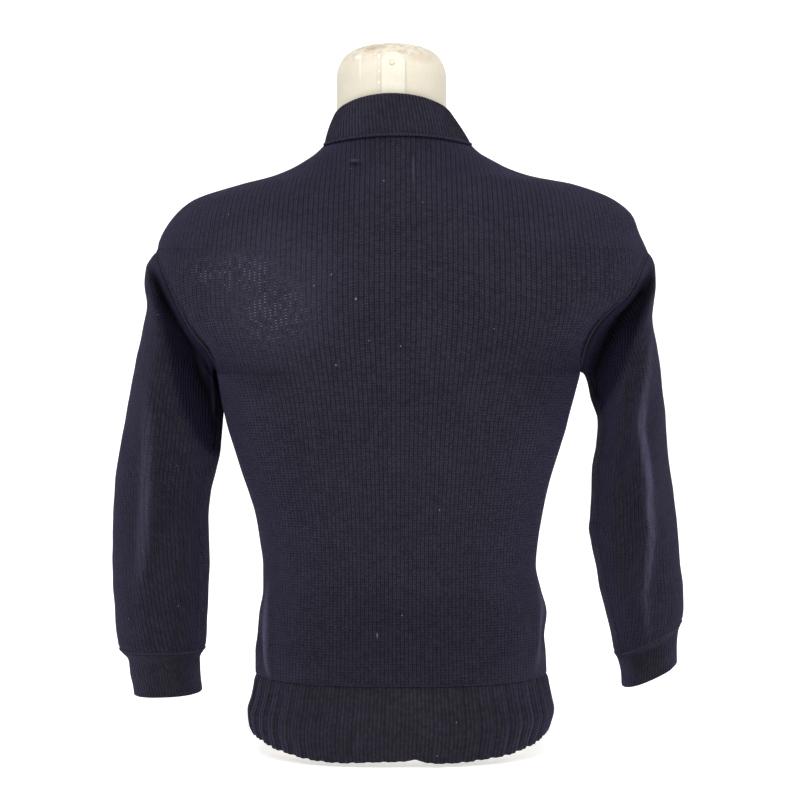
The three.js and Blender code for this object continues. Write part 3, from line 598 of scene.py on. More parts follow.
def double_piece(name, wall, wales, normals, sizes, painted_shade=0.0, capped=False):
    """A ring or strip of double knitting, its courses counted over the turned edge."""
    courses = arc(wall, 0) / sizes.course
    stitches = np.stack([np.broadcast_to(wales, wall.shape[:2]), courses], axis=2)
    facing = np.zeros_like(wall)
    facing[: len(normals)] = normals
    # Painted shade, the same all over the piece.
    dark = np.full(wall.shape[:2], painted_shade)
    return grid_piece(name, wall, stitches, facing, closed=True, capped=capped, depth=dark)


def seam_roll(name, seam, line, normals, closed=False, depth=None):
    """A stitched seam: a thin roll of yarn that follows a line on the cloth."""
    radius, pitch, proud = SEAMS[seam]
    tangents = np.gradient(line, axis=0)
    if closed:
        tangents[0] = line[1] - line[-2]
        tangents[-1] = tangents[0]
    tangents = tangents / np.linalg.norm(tangents, axis=1, keepdims=True)
    beside = np.cross(tangents, normals)
    beside = beside / np.linalg.norm(beside, axis=1, keepdims=True)
    up = np.cross(beside, tangents)
    angles = np.linspace(0, 2 * math.pi, ROLL_SIDES + 1)
    core = line + normals * proud
    grid = np.stack([
        core + radius * (math.cos(a) * up + math.sin(a) * beside) for a in angles
    ], axis=1)
    along_line = np.concatenate(([0], np.cumsum(np.linalg.norm(np.diff(line, axis=0), axis=1))))
    wrap = angles / (2 * math.pi) + along_line[:, None] / pitch
    stitches = np.stack([wrap, np.zeros(grid.shape[:2])], axis=2)
    deep = None if depth is None else np.broadcast_to(depth[:, None], grid.shape[:2])
    return grid_piece(
        name, grid, stitches, grid - core[:, None], closed=True, capped=not closed, depth=deep,
    )


# The body

# Soft creases: the points they run through, as x and z, their half width, and their rise or sink.
BACK_CREASES = (
    (((170, 392), (146, 374), (112, 366), (74, 374)), 14, -0.7),
    (((172, 412), (138, 402), (96, 402)), 14, 0.5),
    (((-172, 404), (-148, 384), (-112, 372)), 14, -0.8),
    (((-170, 380), (-152, 352), (-146, 318)), 11, -1.5),
    (((-176, 432), (-140, 414), (-96, 406)), 9, 1.2),
    (((176, 372), (160, 340), (148, 300)), 9, -1.2),
    (((128, 140), (92, 128), (44, 132), (6, 126)), 8, -1.0),
    (((120, 112), (78, 108), (30, 104)), 8, -1.3),
    (((-28, 116), (-72, 118), (-122, 108)), 8, -1.2),
    (((-132, 150), (-104, 142), (-64, 146)), 9, 1.0),
    (((60, 590), (38, 582), (0, 578), (-46, 582)), 4, -0.8),
    (((129, 78), (130, 100), (131, 128), (132, 172)), 4, 4.6),
    (((139, 82), (141, 100), (141, 128)), 5, -5.0),
    (((-131, 84), (-134, 110), (-137, 158)), 4.5, 2.6),
    (((-143, 92), (-144, 120), (-142, 146)), 5, -3.0),
    (((0, 560), (-2, 480), (2, 380), (0, 260), (4, 150)), 15, -1.6),
)
# Where the front bulges out past the back above the welt: a painted highlight along the edges (below 0)
# and painted shade beside them.
BACK_EDGE_PAINTED_LIGHT = (
    (((129.5, 74), (130.5, 100), (131, 140), (131.5, 176)), 1.7, -1.5),
    (((138.5, 80), (140, 108), (139, 146)), 3.8, 0.8),
    (((-133, 82), (-139, 116), (-142, 146), (-137, 176)), 2.2, -1.2),
)
FRONT_CREASES = (
    (((168, 390), (140, 372), (100, 362), (62, 368)), 14, -1.6),
    (((170, 408), (132, 396), (90, 392)), 12, 1.0),
    (((-170, 400), (-142, 380), (-104, 368)), 14, -1.5),
    (((-172, 376), (-156, 346), (-150, 314)), 10, -1.4),
    (((-174, 428), (-136, 410), (-90, 400)), 9, 1.1),
    (((122, 136), (84, 124), (36, 128)), 9, -1.2),
    (((-24, 118), (-70, 122), (-118, 112)), 9, -1.3),
    (((132, 94), (136, 118), (130, 146)), 5, 1.4),
    (((-126, 98), (-132, 126), (-138, 152)), 5, 1.3),
)
# They fade out over this distance from the seams.
CREASE_FADE = 9

# Columns: height and width of a wale, from the welt to the shoulders.
WALE_PITCH = ((80, 3.9), (186, 3.85), (330, 4.3), (450, 5.0), (600, 5.0))

# The bend at the armpits is eased over this height, in this many steps, clear of the seams.
EASING_REACH = 60
EASING_STEPS = 160
EASING_MARGIN = 7


def on_back(x, z):
    """The point of the back's surface nearest to this width and height."""
    row = body_row(1, z, PANEL_SHARES)
    return row[np.argmin(np.abs(row[:, 0] - x))]


def eased(grid):
    """How far each point moves to soften the bend across the cloth at the height of the armpits."""
    y = grid[..., 1]
    soft = y.copy()
    for _ in range(EASING_STEPS):
        soft[1:-1] = (soft[:-2] + 2 * soft[1:-1] + soft[2:]) / 4
    near = np.exp(-(((grid[..., 2] - ARMPIT) / EASING_REACH) ** 2))
    return (soft - y) * near * smooth(from_edges(grid) / EASING_MARGIN)


def body_grid(face):
    """The outer surface of the back (1) or the front (-1), with its normals."""
    grid = np.array([body_row(face, z, PANEL_SHARES) for z in row_heights()])
    grid[..., 1] += eased(grid)
    towards = np.broadcast_to(np.array([0.0, face, 0.0]), grid.shape)
    normals = outward(grid, False, towards)
    for i in (0, PANEL_COLUMNS):
        seam = np.abs(grid[:, i, 1]) < 1e-6
        normals[seam, i, 1] = 0
        normals[:, i] /= np.linalg.norm(normals[:, i], axis=1, keepdims=True)
    return grid, normals


def panel_edge(face, side, rows):
    """A stretch of a panel's left (1) or right (-1) edge, with its normals."""
    grid, normals = body_grid(face)
    column = PANEL_COLUMNS if side > 0 else 0
    return grid[rows, column], normals[rows, column]


def panel(name, face, creases, sizes):
    """One knitted half of the body."""
    plain, normals = body_grid(face)
    rise = crease_rise(plain[..., 0], plain[..., 2], creases)
    rise = rise + unevenness(plain, "body")
    fade = 1 - np.exp(-((from_edges(plain) / CREASE_FADE) ** 2))
    rise = rise * fade + seam_dip(plain, "first", "last", "high")
    grid = lifted(plain, normals, rise)
    across = arc(plain, 1)
    # The wales are counted from the middle of the body, where one runs straight up.
    middle = np.array([np.interp(0, x, run) for x, run in zip(plain[..., 0], across)])
    pitch = along(WALE_PITCH, 1, row_heights()) * sizes.wale_scale
    wales = (across - middle[:, None]) / pitch[:, None]
    courses = arc(plain, 0) / sizes.course
    # Painted highlight and painted shade along the back's edges above the welt.
    depth = crease_rise(plain[..., 0], plain[..., 2], BACK_EDGE_PAINTED_LIGHT if face > 0 else ())
    piece = grid_piece(name, grid, np.stack([wales, courses], axis=2), normals, depth=depth)
    give_thickness(piece, sizes.wall)
    return piece


# The sleeves

def ring_place(spec, at):
    """Where a ring of the sleeve stands."""
    inner, outer, back, front, middle = (along(spec["rings"], k, at) for k in range(1, 6))
    inner_x = along(spec["inner"], 1, inner)
    outer_x = along(sorted(spec["outer"]), 1, outer)
    return inner, outer, inner_x, outer_x, back, front, middle


def plain_ring(side, place):
    """A ring with no folds, from the underarm round the back to the outside and by the front."""
    inner, outer, inner_x, outer_x, back, front, middle = place
    share = (ACROSS + 1) / 2
    halves = []
    for face, depth in ((1, back), (-1, front)):
        x = side * mix(inner_x, outer_x, share)
        y = middle + face * depth * crown(ACROSS, SLEEVE_FLAT, SLEEVE_ROUND)
        z = mix(inner, outer, share)
        halves.append(spread(np.stack([x, y, z], axis=1), even(ARMHOLE_ROWS)))
    return np.concatenate([halves[0], halves[1][::-1][1:]])


def fold_rise(folds, x, z):
    """Height of the sleeve's own folds, which run down it."""
    total = np.zeros_like(x)
    for path in folds:
        inside = (z > path[0][0]) & (z < path[-1][0])
        away = (x - along(path, 1, z)) / along(path, 2, z)
        total += np.where(inside, along(path, 3, z) * np.exp(-away * away), 0)
    return total


def armhole_ring(side):
    """The armhole's edge as a ring, from the armpit up the back to the tip and down the front."""
    back, back_normals = panel_edge(1, side, ARMHOLE_STRETCH)
    front, front_normals = panel_edge(-1, side, ARMHOLE_STRETCH)
    line = np.concatenate([back, front[::-1][1:]])
    return line, np.concatenate([back_normals, front_normals[::-1][1:]])


def sleeve_grid(spec):
    """The sleeve's outer surface and its normals."""
    side = spec["side"]
    start, _ = armhole_ring(side)
    root = plain_ring(side, ring_place(spec, 0))
    count = ARMHOLE_ROWS * 2 + 1
    face = np.where(np.arange(count) <= ARMHOLE_ROWS, 1, -1)
    weight = np.where(face > 0, 1, SLEEVE_FRONT_SHARE)
    rings = [start]
    for at in even(SLEEVE_RINGS)[1:] ** RING_CROWDING:
        place = ring_place(spec, at)
        ring = plain_ring(side, place)
        home = start + ring - root
        shaped = mix(home, ring, smooth(at / SLEEVE_SETTLES))
        away = np.linalg.norm(shaped - start, axis=1)
        share = (side * ring[:, 0] - place[2]) / (place[3] - place[2])
        flank = smooth(np.minimum(share, 1 - share) * 8)
        rise = fold_rise(spec["folds"], side * shaped[:, 0], shaped[:, 2])
        shaped[:, 1] += face * rise * weight * smooth(away / FOLD_STARTS) * flank
        rings.append(shaped)
    grid = np.array(rings)
    centre = grid[:, :-1].mean(axis=1, keepdims=True)
    return grid, outward(grid, True, grid - centre)


# Creases of each sleeve, the pressed one first, with x measured outwards from the middle plane.
SLEEVE_CREASES = {
    "left": (
        (((244, 376), (246, 322), (249, 256), (253, 200), (257, 150)), 4.6, 6.5),
        (((262, 372), (268, 330), (272, 290)), 7, -1.5),
        (((228, 350), (226, 280), (226, 230), (230, 170)), 11, -4.6),
        (((214, 160), (236, 150), (262, 156)), 6, -1.1),
        (((206, 128), (232, 122), (268, 128)), 6, 1.2),
        (((200, 300), (214, 276), (232, 262)), 6, -1.3),
        (((196, 230), (212, 216), (236, 206)), 6, 1.1),
    ),
    "right": (
        (((247, 430), (239, 372), (234, 330), (243, 270), (246, 222), (241, 160), (246, 104)), 3.4, 5.5),
        (((256, 330), (262, 280), (268, 230), (272, 190)), 7, -2.2),
        (((216, 340), (218, 280), (222, 220), (226, 170)), 10, -3.2),
        (((206, 170), (228, 160), (262, 172)), 6, -1.2),
        (((222, 132), (246, 128), (274, 140)), 6, 1.1),
        (((198, 268), (212, 258), (230, 256)), 6, 1.3),
        (((204, 300), (218, 290), (234, 292)), 6, -1.3),
    ),
}

# The finer creases fade in below the armhole and out above the cuff over these lengths.
CREASES_START = 30
CREASES_END = 14

# Half width of the painted highlight along each sleeve's pressed crease, and how strong it is.
PRESSED_CREASE_HIGHLIGHT = {"left": (5.5, 0.6), "right": (2.8, 1.3)}

# The left sleeve's inner fold lies against the body: this far over, about this height, up to x.
CROWDED = {"over": 5, "height": 360, "tall": 24, "x": 215}

# The far edge of the hollow beside each armhole, seen from behind, which is painted with shade: height and
# distance from the middle plane.
HOLLOWS = {
    "left": (
        (290, 176), (300, 188), (320, 203), (350, 215), (375, 222), (400, 226), (440, 236), (480, 246),
        (492, 249),
    ),
    "right": ((328, 192), (340, 200), (365, 211), (400, 225), (440, 240), (465, 248), (490, 252)),
}
# Over how much it fades at its edge, its foot and its head, and how much deeper it is made.
HOLLOW_BLUR = 8
HOLLOW_FOOT = 16
HOLLOW_HEAD = 26
HOLLOW_EXTRA = 9

# Where the sleeve's own seam starts, and its place round the ring from the underarm.
SEAM_FIRST_RING = 46
SEAM_COLUMN = 7


def flank_share(grid):
    """0 at a sleeve's inner and outer edges, 1 over most of its width."""
    column = np.abs(np.linspace(-1, 1, grid.shape[1]))
    share = np.minimum(column, 1 - column) * 2
    return smooth(share * 5)[None]


def hollow_depth(name, side, grid):
    """How deep each point of the sleeve lies in the hollow beside the armhole, from 0 to 1."""
    edge = HOLLOWS[name]
    x = side * grid[..., 0]
    z = grid[..., 2]
    inside = smooth((along(edge, 1, z) - x) / HOLLOW_BLUR + 0.5)
    ends = smooth((z - edge[0][0]) / HOLLOW_FOOT) * smooth((edge[-1][0] - z) / HOLLOW_HEAD)
    return inside * ends


def sleeve_shell(name, spec, sizes):
    """One knitted sleeve, with its finer creases."""
    plain, normals = sleeve_grid(spec)
    side = spec["side"]
    rise = crease_rise(side * plain[..., 0], plain[..., 2], SLEEVE_CREASES[name])
    rise = rise + unevenness(plain, "sleeve")
    up = arc(plain, 0)
    rise = rise * smooth(up / CREASES_START) * smooth((up[-1:] - up) / CREASES_END)
    rise = rise + seam_dip(plain, "low", "high")
    # The hollow beside the armhole is painted with shade, near black at its deepest, and it is made deeper
    # as well.
    hollow = hollow_depth(name, side, plain)
    # A painted highlight along the pressed crease, on the back half of the sleeve only.
    pressed = (SLEEVE_CREASES[name][0][0], *PRESSED_CREASE_HIGHLIGHT[name])
    wear_and_painted_highlight = crease_rise(side * plain[..., 0], plain[..., 2], (pressed,)) * (plain[..., 1] > 0)
    # Painted shade: the hollow's where it is deeper, else the sleeve's own, less the pressed crease's
    # painted highlight.
    dark = np.maximum(hollow, SLEEVE_PAINTED_SHADE) - wear_and_painted_highlight
    grid = lifted(plain, normals, rise)
    if name == "left":
        near = np.exp(-(((plain[..., 2] - CROWDED["height"]) / CROWDED["tall"]) ** 2))
        inner = (1 - flank_share(plain)) * (plain[..., 0] < CROWDED["x"])
        grid[..., 0] -= side * CROWDED["over"] * near * inner
    grid[..., 1] -= np.sign(plain[..., 1]) * HOLLOW_EXTRA * hollow * smooth(up / 16) * flank_share(plain)
    around = arc(plain, 1)
    outside = around[:, ARMHOLE_ROWS]
    wales = (around - outside[:, None]) / (SLEEVE_WALE * sizes.wale_scale)
    courses = up / sizes.course
    stitches = np.stack([wales, courses], axis=2)
    piece = grid_piece(f"knit_sleeve_{name}", grid, stitches, normals, closed=True, depth=dark)
    give_thickness(piece, sizes.wall)
    return piece, grid, normals


def cuff_shell(name, spec, sleeve_end, sizes):
    """One knitted cuff, double at its edge."""
    rings = []
    for at in even(CUFF_RINGS):
        place = [along(spec["cuff"], k, at) for k in range(1, 8)]
        rings.append(plain_ring(spec["side"], place))
    plain = np.array(rings)
    plain[0] = sleeve_end
    centre = plain[:, :-1].mean(axis=1, keepdims=True)
    normals = outward(plain, True, plain - centre)
    rise = unevenness(plain, "cuff") * smooth(arc(plain, 0) / 6)
    grid = lifted(plain, normals, rise)
    wall = doubled(grid, normals, CUFF_WALL)
    around = arc(wall, 1)
    wales = (around - around[:, ARMHOLE_ROWS][:, None]) / CUFF_RIB
    return double_piece(f"knit_cuff_{name}", wall, wales, normals, sizes, painted_shade=CUFF_PAINTED_SHADE)


def inner_seam(grid, normals):
    """Where the sleeve's own seam shows behind, a little outside its inner edge."""
    return grid[SEAM_FIRST_RING:, SEAM_COLUMN], normals[SEAM_FIRST_RING:, SEAM_COLUMN]


# The collar

# The seam under the collar rises this much in the middle of the back, and less up to this far off.
COLLAR_SEAM_ARCH = 1
COLLAR_SEAM_REACH = 72


def collar_shell(sizes):
    """The stand collar: fine ribs that run up from the neckline and over the folded edge."""
    shares = even(COLLAR_RIBS_PER_HALF * COLLAR_RIB_STEPS)
    base = []
    oval = []
    for face in (1, -1):
        base.append(body_row(face, NECK_POINT, shares))
        rise = COLLAR_TOP["rise"] if face > 0 else -COLLAR_TOP["drop"]
        depth = COLLAR_TOP["back"] if face > 0 else COLLAR_TOP["front"]
        hump = crown(ACROSS, 2, 2)
        x = COLLAR_TOP["x"] + ACROSS * COLLAR_TOP["half"]
        y = face * depth * hump
        z = COLLAR_TOP["z"] + rise * hump
        oval.append(spread(np.stack([x, y, z], axis=1), shares))
    neckline = np.concatenate([base[0], base[1][::-1][1:]])
    upper = np.concatenate([oval[0], oval[1][::-1][1:]])
    steps = even(COLLAR_ROWS)[:, None, None]
    plain = mix(neckline[None], upper[None], steps)
    centre = plain[:, :-1].mean(axis=1, keepdims=True)
    normals = outward(plain, True, plain - centre)
    belly = COLLAR_BELLY * np.sin(math.pi * even(COLLAR_ROWS))[:, None]
    ribs = np.cos(2 * math.pi * shares * COLLAR_RIBS_PER_HALF)
    ring = np.concatenate([ribs, ribs[::-1][1:]])
    settle = smooth(even(COLLAR_ROWS) * 8)[:, None]
    rise = belly + (sizes.collar_rise * (ring[None] + 1) / 2 + unevenness(plain, "collar")) * settle
    grid = lifted(plain, normals, rise)
    wall = doubled(grid, normals, sizes.collar_wall, lip_rows=8, inner_rows=6)
    # Half a rib on, so that the dark line of the knit lies in the groove.
    wales = np.linspace(0, 2 * COLLAR_RIBS_PER_HALF, wall.shape[1]) + 0.5
    piece = double_piece("knit_collar", wall, wales, normals, sizes)
    seam = neckline.copy()
    span = np.clip(1 - ((seam[:, 0] - COLLAR_TOP["x"]) / COLLAR_SEAM_REACH) ** 2, 0, 1)
    seam[:, 2] += COLLAR_SEAM_ARCH * span * (seam[:, 1] > 0)
    return piece, seam, normals[0]


# The welt

# Across a rib, from 0 on its ridge to 1 in its groove: where its flank starts and how wide that is.
RIB_FLANK_START = 0.42
RIB_FLANK = 0.5
# A pair of wales: how high it stands, and how far the line between the two sinks.
PAIR_RISE = 0.92
PAIR_DIP = 0.16
# How much the ribs' height varies round the welt: share, turn from rib to rib, and start.
RIB_SWAYS = ((0.16, 2.4, 0), (0.1, 0.83, 1))
# The ribs start this low at the seam, and are pulled this flat in the middle, less up to this far off.
RIB_START = 0.35
RIB_MIDDLE = 0.5
RIB_MIDDLE_REACH = 120
# The small notch in the hem behind, and the hem's slow waver.
NOTCH = {"x": -15, "half": 9, "rise": 2.6}
WAVER = {"rise": 0.9, "length": 17}


def welt_row(face, down, shares):
    """One row of the welt: down runs from 0 at its seam to 1 at its edge."""
    low = WELT_LOW + WELT_CURL * np.abs(ACROSS) ** WELT_CURL_POWER
    z = mix(WELT_TOP, low, down)
    half = np.where(ACROSS > 0, along(WELT, LEFT, z), along(WELT, RIGHT, z)) - WELT_RIB_RISE
    depth = along(WELT, BACK if face > 0 else FRONT, z) - WELT_RIB_RISE
    y = face * depth * crown(ACROSS, WELT_FLAT, WELT_ROUND)
    return spread(np.stack([ACROSS * half, y, z], axis=1), shares)


def welt_shell(name, face, sizes):
    """One half of the deep welt: raised pairs of knit wales between sunk pairs of purl wales."""
    count = WELT_RIBS * WELT_RIB_STEPS
    plain = np.array([welt_row(face, down, even(count)) for down in even(WELT_ROWS)])
    towards = np.broadcast_to(np.array([0.0, face, 0.0]), plain.shape)
    normals = outward(plain, False, towards)
    for i in (0, -1):
        normals[:, i, 1] = 0
        normals[:, i] /= np.linalg.norm(normals[:, i], axis=1, keepdims=True)
    rib = even(count) * WELT_RIBS
    inside_rib = np.abs((rib % 1) - 0.5) * 2
    ridge = 1 - smooth((inside_rib - RIB_FLANK_START) / RIB_FLANK)
    pair = PAIR_DIP * np.cos(math.pi * 2 * np.clip(1 - inside_rib, 0, 1)) * ridge
    sway = 1 + sum(share * np.sin(rib * turn + start) for share, turn, start in RIB_SWAYS)
    profile = (ridge * PAIR_RISE - pair) * sway
    down = even(WELT_ROWS)[:, None]
    settle = mix(RIB_START, 1, smooth(down / 0.16))
    flatter = mix(RIB_MIDDLE, 1, smooth(np.abs(plain[..., 0]) / RIB_MIDDLE_REACH))
    rise = sizes.welt_rise * profile[None] * settle * flatter
    rise = rise + unevenness(plain, "welt") * smooth(down / 0.1)
    notch = np.exp(-(((plain[..., 0] - NOTCH["x"]) / NOTCH["half"]) ** 2)) * (face > 0)
    waver = WAVER["rise"] * np.sin(plain[..., 0] / WAVER["length"] + face)
    grid = lifted(plain, normals, rise)
    grid[..., 2] += notch * NOTCH["rise"] * smooth((down - 0.8) / 0.2) + waver * smooth((down - 0.7) / 0.3)
    wall = doubled(grid, normals, sizes.welt_wall)
    # A rib is two knit and two purl wales.
    return double_piece(name, wall, rib * 4, normals, sizes, painted_shade=WELT_PAINTED_SHADE, capped=True)


# The dress form and its strap

FORM_BASE_LEVELS = 14
NECK_LEVELS = 44


def form_level(z, middle, half, rear, fore, power):
    """One level of the form: over the back, then over the front."""
    rows = []
    for face, depth in ((1, rear), (-1, fore)):
        x = middle + ACROSS * half
        y = face * np.maximum(FORM_SIDE, depth * crown(ACROSS, power, power))
        rows.append(spread(np.stack([x, y, np.full_like(x, z)], axis=1), PANEL_SHARES[::2]))
    return np.concatenate([rows[0], rows[1][::-1], rows[0][:1]])


def form_trunk():
    """Levels of the form inside the cloth, one for every other row of the panels."""
    heights = [z for z in row_heights() if z <= FORM_SHOULDER]
    tip = SIDE_ROWS + ARMHOLE_ROWS
    faces = {face: body_grid(face) for face in (1, -1)}
    levels = []
    for j in range(0, len(heights), 2):
        inset = CLOTH + along(FORM_EASE, 1, heights[j])
        rows = []
        for face, (grid, normals) in faces.items():
            row = grid[j] - normals[j] * inset
            if not SIDE_ROWS < j < tip:
                row[:, 1] = face * np.maximum(FORM_SIDE, face * row[:, 1])
            rows.append(row[::2])
        levels.append(np.concatenate([rows[0], rows[1][::-1], rows[0][:1]]))
    return levels


def form_shell():
    """The whole dress form, smooth and closed: rounded base, trunk, and domed neck."""
    levels = []
    for z in np.linspace(FORM_BASE[0][0], FORM_BASE[-1][0], FORM_BASE_LEVELS):
        half, rear, fore = (along(FORM_BASE, k, z) for k in (1, 2, 3))
        levels.append(form_level(z, 0, half, rear, fore, FORM_BASE_POWER))
    levels.extend(form_trunk())
    for share in np.sin(even(NECK_LEVELS) * math.pi / 2):
        z = mix(NECK[0][0], NECK[-1][0], share)
        middle, half, rear, fore = (along(NECK, k, z) for k in (1, 2, 3, 4))
        levels.append(form_level(z, middle, half, rear, fore, 2))
    top = np.array((NECK_TOP[0], 0, NECK_TOP[1]), float)
    levels.append(mix(levels[-1], top, 0.5) + np.array((0, 0, NECK_CROWN)))
    levels.append(np.broadcast_to(top, levels[-1].shape))
    grid = np.array(levels)
    towards = grid - grid.mean(axis=1, keepdims=True)
    return grid_piece("dress_form_body", grid, grid[..., :2] * MM, towards, closed=True, capped=True)


def neck_back(x, z, proud):
    """A point on the back of the neck, that far out of it."""
    middle, half, rear = (along(NECK, k, z) for k in (NECK_MIDDLE, NECK_HALF, NECK_BACK))
    y = rear * crown((x - middle) / half, 2, 2)
    slope = (along(NECK, NECK_BACK, z + 1) - along(NECK, NECK_BACK, z - 1)) / 2
    out = Vector(((x - middle) / (half * half), y / (rear * rear), 0)).normalized()
    out.z = -slope
    out.normalize()
    return np.array((x, y, z)) + np.array(out) * proud, np.array(out)


def strap_shell():
    """The strap plate laid over the back of the neck, round at its upper end."""
    rows = []
    for z in np.linspace(STRAP["low"], STRAP["high"], STRAP_ROWS):
        rise = max(0, z - (STRAP["high"] - STRAP["corner"])) / STRAP["corner"]
        half = STRAP["half"] * math.sqrt(max(0.03, 1 - rise * rise))
        proud = STRAP["proud"] + STRAP["thick"]
        across = STRAP["x"] + half * np.linspace(-1, 1, STRAP_COLUMNS)
        rows.append([neck_back(x, z, proud)[0] for x in across])
    grid = np.array(rows)
    towards = np.broadcast_to(np.array((0.0, 1.0, 0.0)), grid.shape)
    piece = grid_piece("strap_plate", grid, grid[..., ::2] * MM, towards)
    give_thickness(piece, STRAP["thick"])
    soft = piece.modifiers.new("edge", "BEVEL")
    soft.width = STRAP_EDGE * MM
    soft.segments = 3
    soft.limit_method = "ANGLE"
    return piece


def screw_head():
    """The round screw in the strap, with a shallow recess in its head."""
    foot, out = neck_back(SCREW["x"], SCREW["z"], STRAP["proud"] + STRAP["thick"] + SCREW["proud"])
    bm = bmesh.new()
    disc = bmesh.ops.create_circle(bm, cap_ends=True, segments=32, radius=SCREW["radius"] * MM)["verts"]
    face = disc[0].link_faces[0]
    made = bmesh.ops.extrude_face_region(bm, geom=[face])["geom"]
    top = [part for part in made if isinstance(part, bmesh.types.BMVert)]
    bmesh.ops.translate(bm, verts=top, vec=(0, 0, SCREW["rise"] * MM))
    rim = [edge for edge in bm.edges if all(vertex in top for vertex in edge.verts)]
    bmesh.ops.bevel(
        bm, geom=rim, offset=SCREW_EDGE * MM, segments=4, profile=0.5, material=-1, affect="EDGES",
    )
    cap = max(bm.faces, key=lambda part: part.calc_center_median().z)
    bmesh.ops.inset_region(bm, faces=[cap], thickness=SCREW_RIM * MM, depth=0)
    bmesh.ops.translate(bm, verts=cap.verts, vec=(0, 0, -SCREW_RECESS * MM))
    bmesh.ops.recalc_face_normals(bm, faces=bm.faces)
    for part in bm.faces:
        part.smooth = True
    turn = Vector((0, 0, 1)).rotation_difference(Vector(out)).to_matrix()
    bmesh.ops.rotate(bm, verts=bm.verts, cent=(0, 0, 0), matrix=turn)
    bmesh.ops.translate(bm, verts=bm.verts, vec=Vector(foot) * MM)
    return link_mesh("screw_head", bm)


# Materials

# Tones on the back, as x and z, half width and half height, share and colour: a painted highlight over the
# shoulder, painted shade at the sides by the armpits and towards the hem, pulled threads under the collar,
# and specks of lint.
BACK_MARKS_AND_PAINTED_LIGHT = (
    # The first four rows are painted light: a highlight over the shoulder, and shade by each armpit and
    # towards the hem.
    (126, 462, 100, 90, 0.07, "#6A6A86"),
    (-150, 375, 62, 62, 0.25, "#050507"),
    (135, 376, 46, 22, 0.20, "#050507"),
    (0, 118, 190, 76, 0.16, "#08080A"),
    (44, 584, 8, 2.6, 0.80, "#050507"),
    (45, 588, 7, 1.8, 0.12, "#8A8AA0"),
    (-13, 578, 1.2, 20, 0.10, "#8A8AA0"),
    (22, 128, 1.4, 3.6, 0.30, "#9A989C"),
    (42, 453, 1.3, 1.9, 0.40, "#B9B7B8"),
    (61, 390, 1.2, 1.2, 0.35, "#B9B7B8"),
    (66, 607, 1.7, 1.7, 0.70, "#E4E2E0"),
)
# How far a tone reaches through the cloth, so that it stays on the side that it is on.
TONE_DEPTH = 90

# Between these heights the neck's paint is more and more rubbed.
NECK_RUBBED = (680, 705)

# Tones on the back of the form's neck: an old joint, chips beside the strap, and rubbed paint.
NECK_TONES = (
    (39, 680, 1.2, 24, 0.35, "#FAF8F2"),
    (41, 690, 5, 3, 0.55, "#FAF8F2"),
    (20.5, 690, 1.8, 2.6, 0.90, "#FAF8F2"),
    (20.3, 675, 1.4, 2.2, 0.60, "#FAF8F2"),
    (20.6, 664, 1.6, 2.4, 0.60, "#FAF8F2"),
    (22, 672, 1.5, 20, 0.15, "#B59B82"),
    (26, 700, 16, 5, 0.55, "#B08E76"),
    (-22, 690, 20, 9, 0.35, "#C9AE98"),
)

# Stretched stitches over the shoulder blade: x and z, half width and half height.
STRETCHED = ((121, 440, 46, 44), (188, 480, 22, 18), (150, 478, 48, 26))

# Lint, in millimetres: how far apart its specks may lie, and their radius.
LINT_SPACING = 17
LINT_SIZE = 0.58

# The sockets of a Mix node that blends two colours.
SHARE, UNDER, OVER = 0, 6, 7
BLENDED = 2

# How ragged the edges of all patches are.
RAGGED = 0.65


def linear(hex_colour, alpha=1.0):
    """An sRGB hex colour as Blender's linear colour."""
    values = [int(hex_colour[i:i + 2], 16) / 255 for i in (1, 3, 5)]
    made = [v / 12.92 if v <= 0.04045 else ((v + 0.055) / 1.055) ** 2.4 for v in values]
    return (*made, alpha)


def add_node(tree, kind, settings=None, links=None):
    """Adds a node with its settings; links holds each input's value, or the node or socket behind it."""
    made = tree.nodes.new(kind)
    for key, value in (settings or {}).items():
        setattr(made, key, value)
    for key, value in (links or {}).items():
        if isinstance(value, bpy.types.Node):
            value = value.outputs[0]
        if isinstance(value, bpy.types.NodeSocket):
            tree.links.new(value, made.inputs[key])
        else:
            made.inputs[key].default_value = value
    return made


def new_material(name):
    """An empty material, its tree and its shader, wired to the output."""
    material = bpy.data.materials.new(name)
    material.use_nodes = True
    tree = material.node_tree
    tree.nodes.clear()
    shader = add_node(tree, "ShaderNodeBsdfPrincipled")
    add_node(tree, "ShaderNodeOutputMaterial", links={"Surface": shader})
    return material, tree, shader


def spot(tree, place, x, z, width, tall, share):
    """A soft oval spot on the back of the body: this share at its middle, 0 at its edge."""
    half = (width, TONE_DEPTH, tall)
    scale = [1 / (size * MM) for size in half]
    middle = (x / width, on_back(x, z)[1] / TONE_DEPTH, z / tall)
    scaled = add_node(tree, "ShaderNodeVectorMath", {"operation": "MULTIPLY"}, {0: place, 1: scale})
    away = add_node(tree, "ShaderNodeVectorMath", {"operation": "DISTANCE"}, {0: scaled, 1: middle})
    return add_node(
        tree,
        "ShaderNodeMapRange",
        {"interpolation_type": "SMOOTHSTEP"},
        {0: away.outputs["Value"], "From Min": 0.25, "From Max": 1.0, "To Min": share, "To Max": 0.0},
    )


# Each knit's look: the share of a wale over which its yarn rises, how much of its height is left
# between two courses, how many courses its legs slant by across a wale, how much of its height is
# left between the two legs, and how dark its gaps are beside those of stockinette.
KNITS = {
    "stockinette": (0.24, 0.35, 1.0, 0.55, 1.0),
    "rib": (0.45, 0.75, 0.0, 1.0, 0.6),
    "roll": (0.34, 1.0, 0.0, 1.0, 0.4),
}


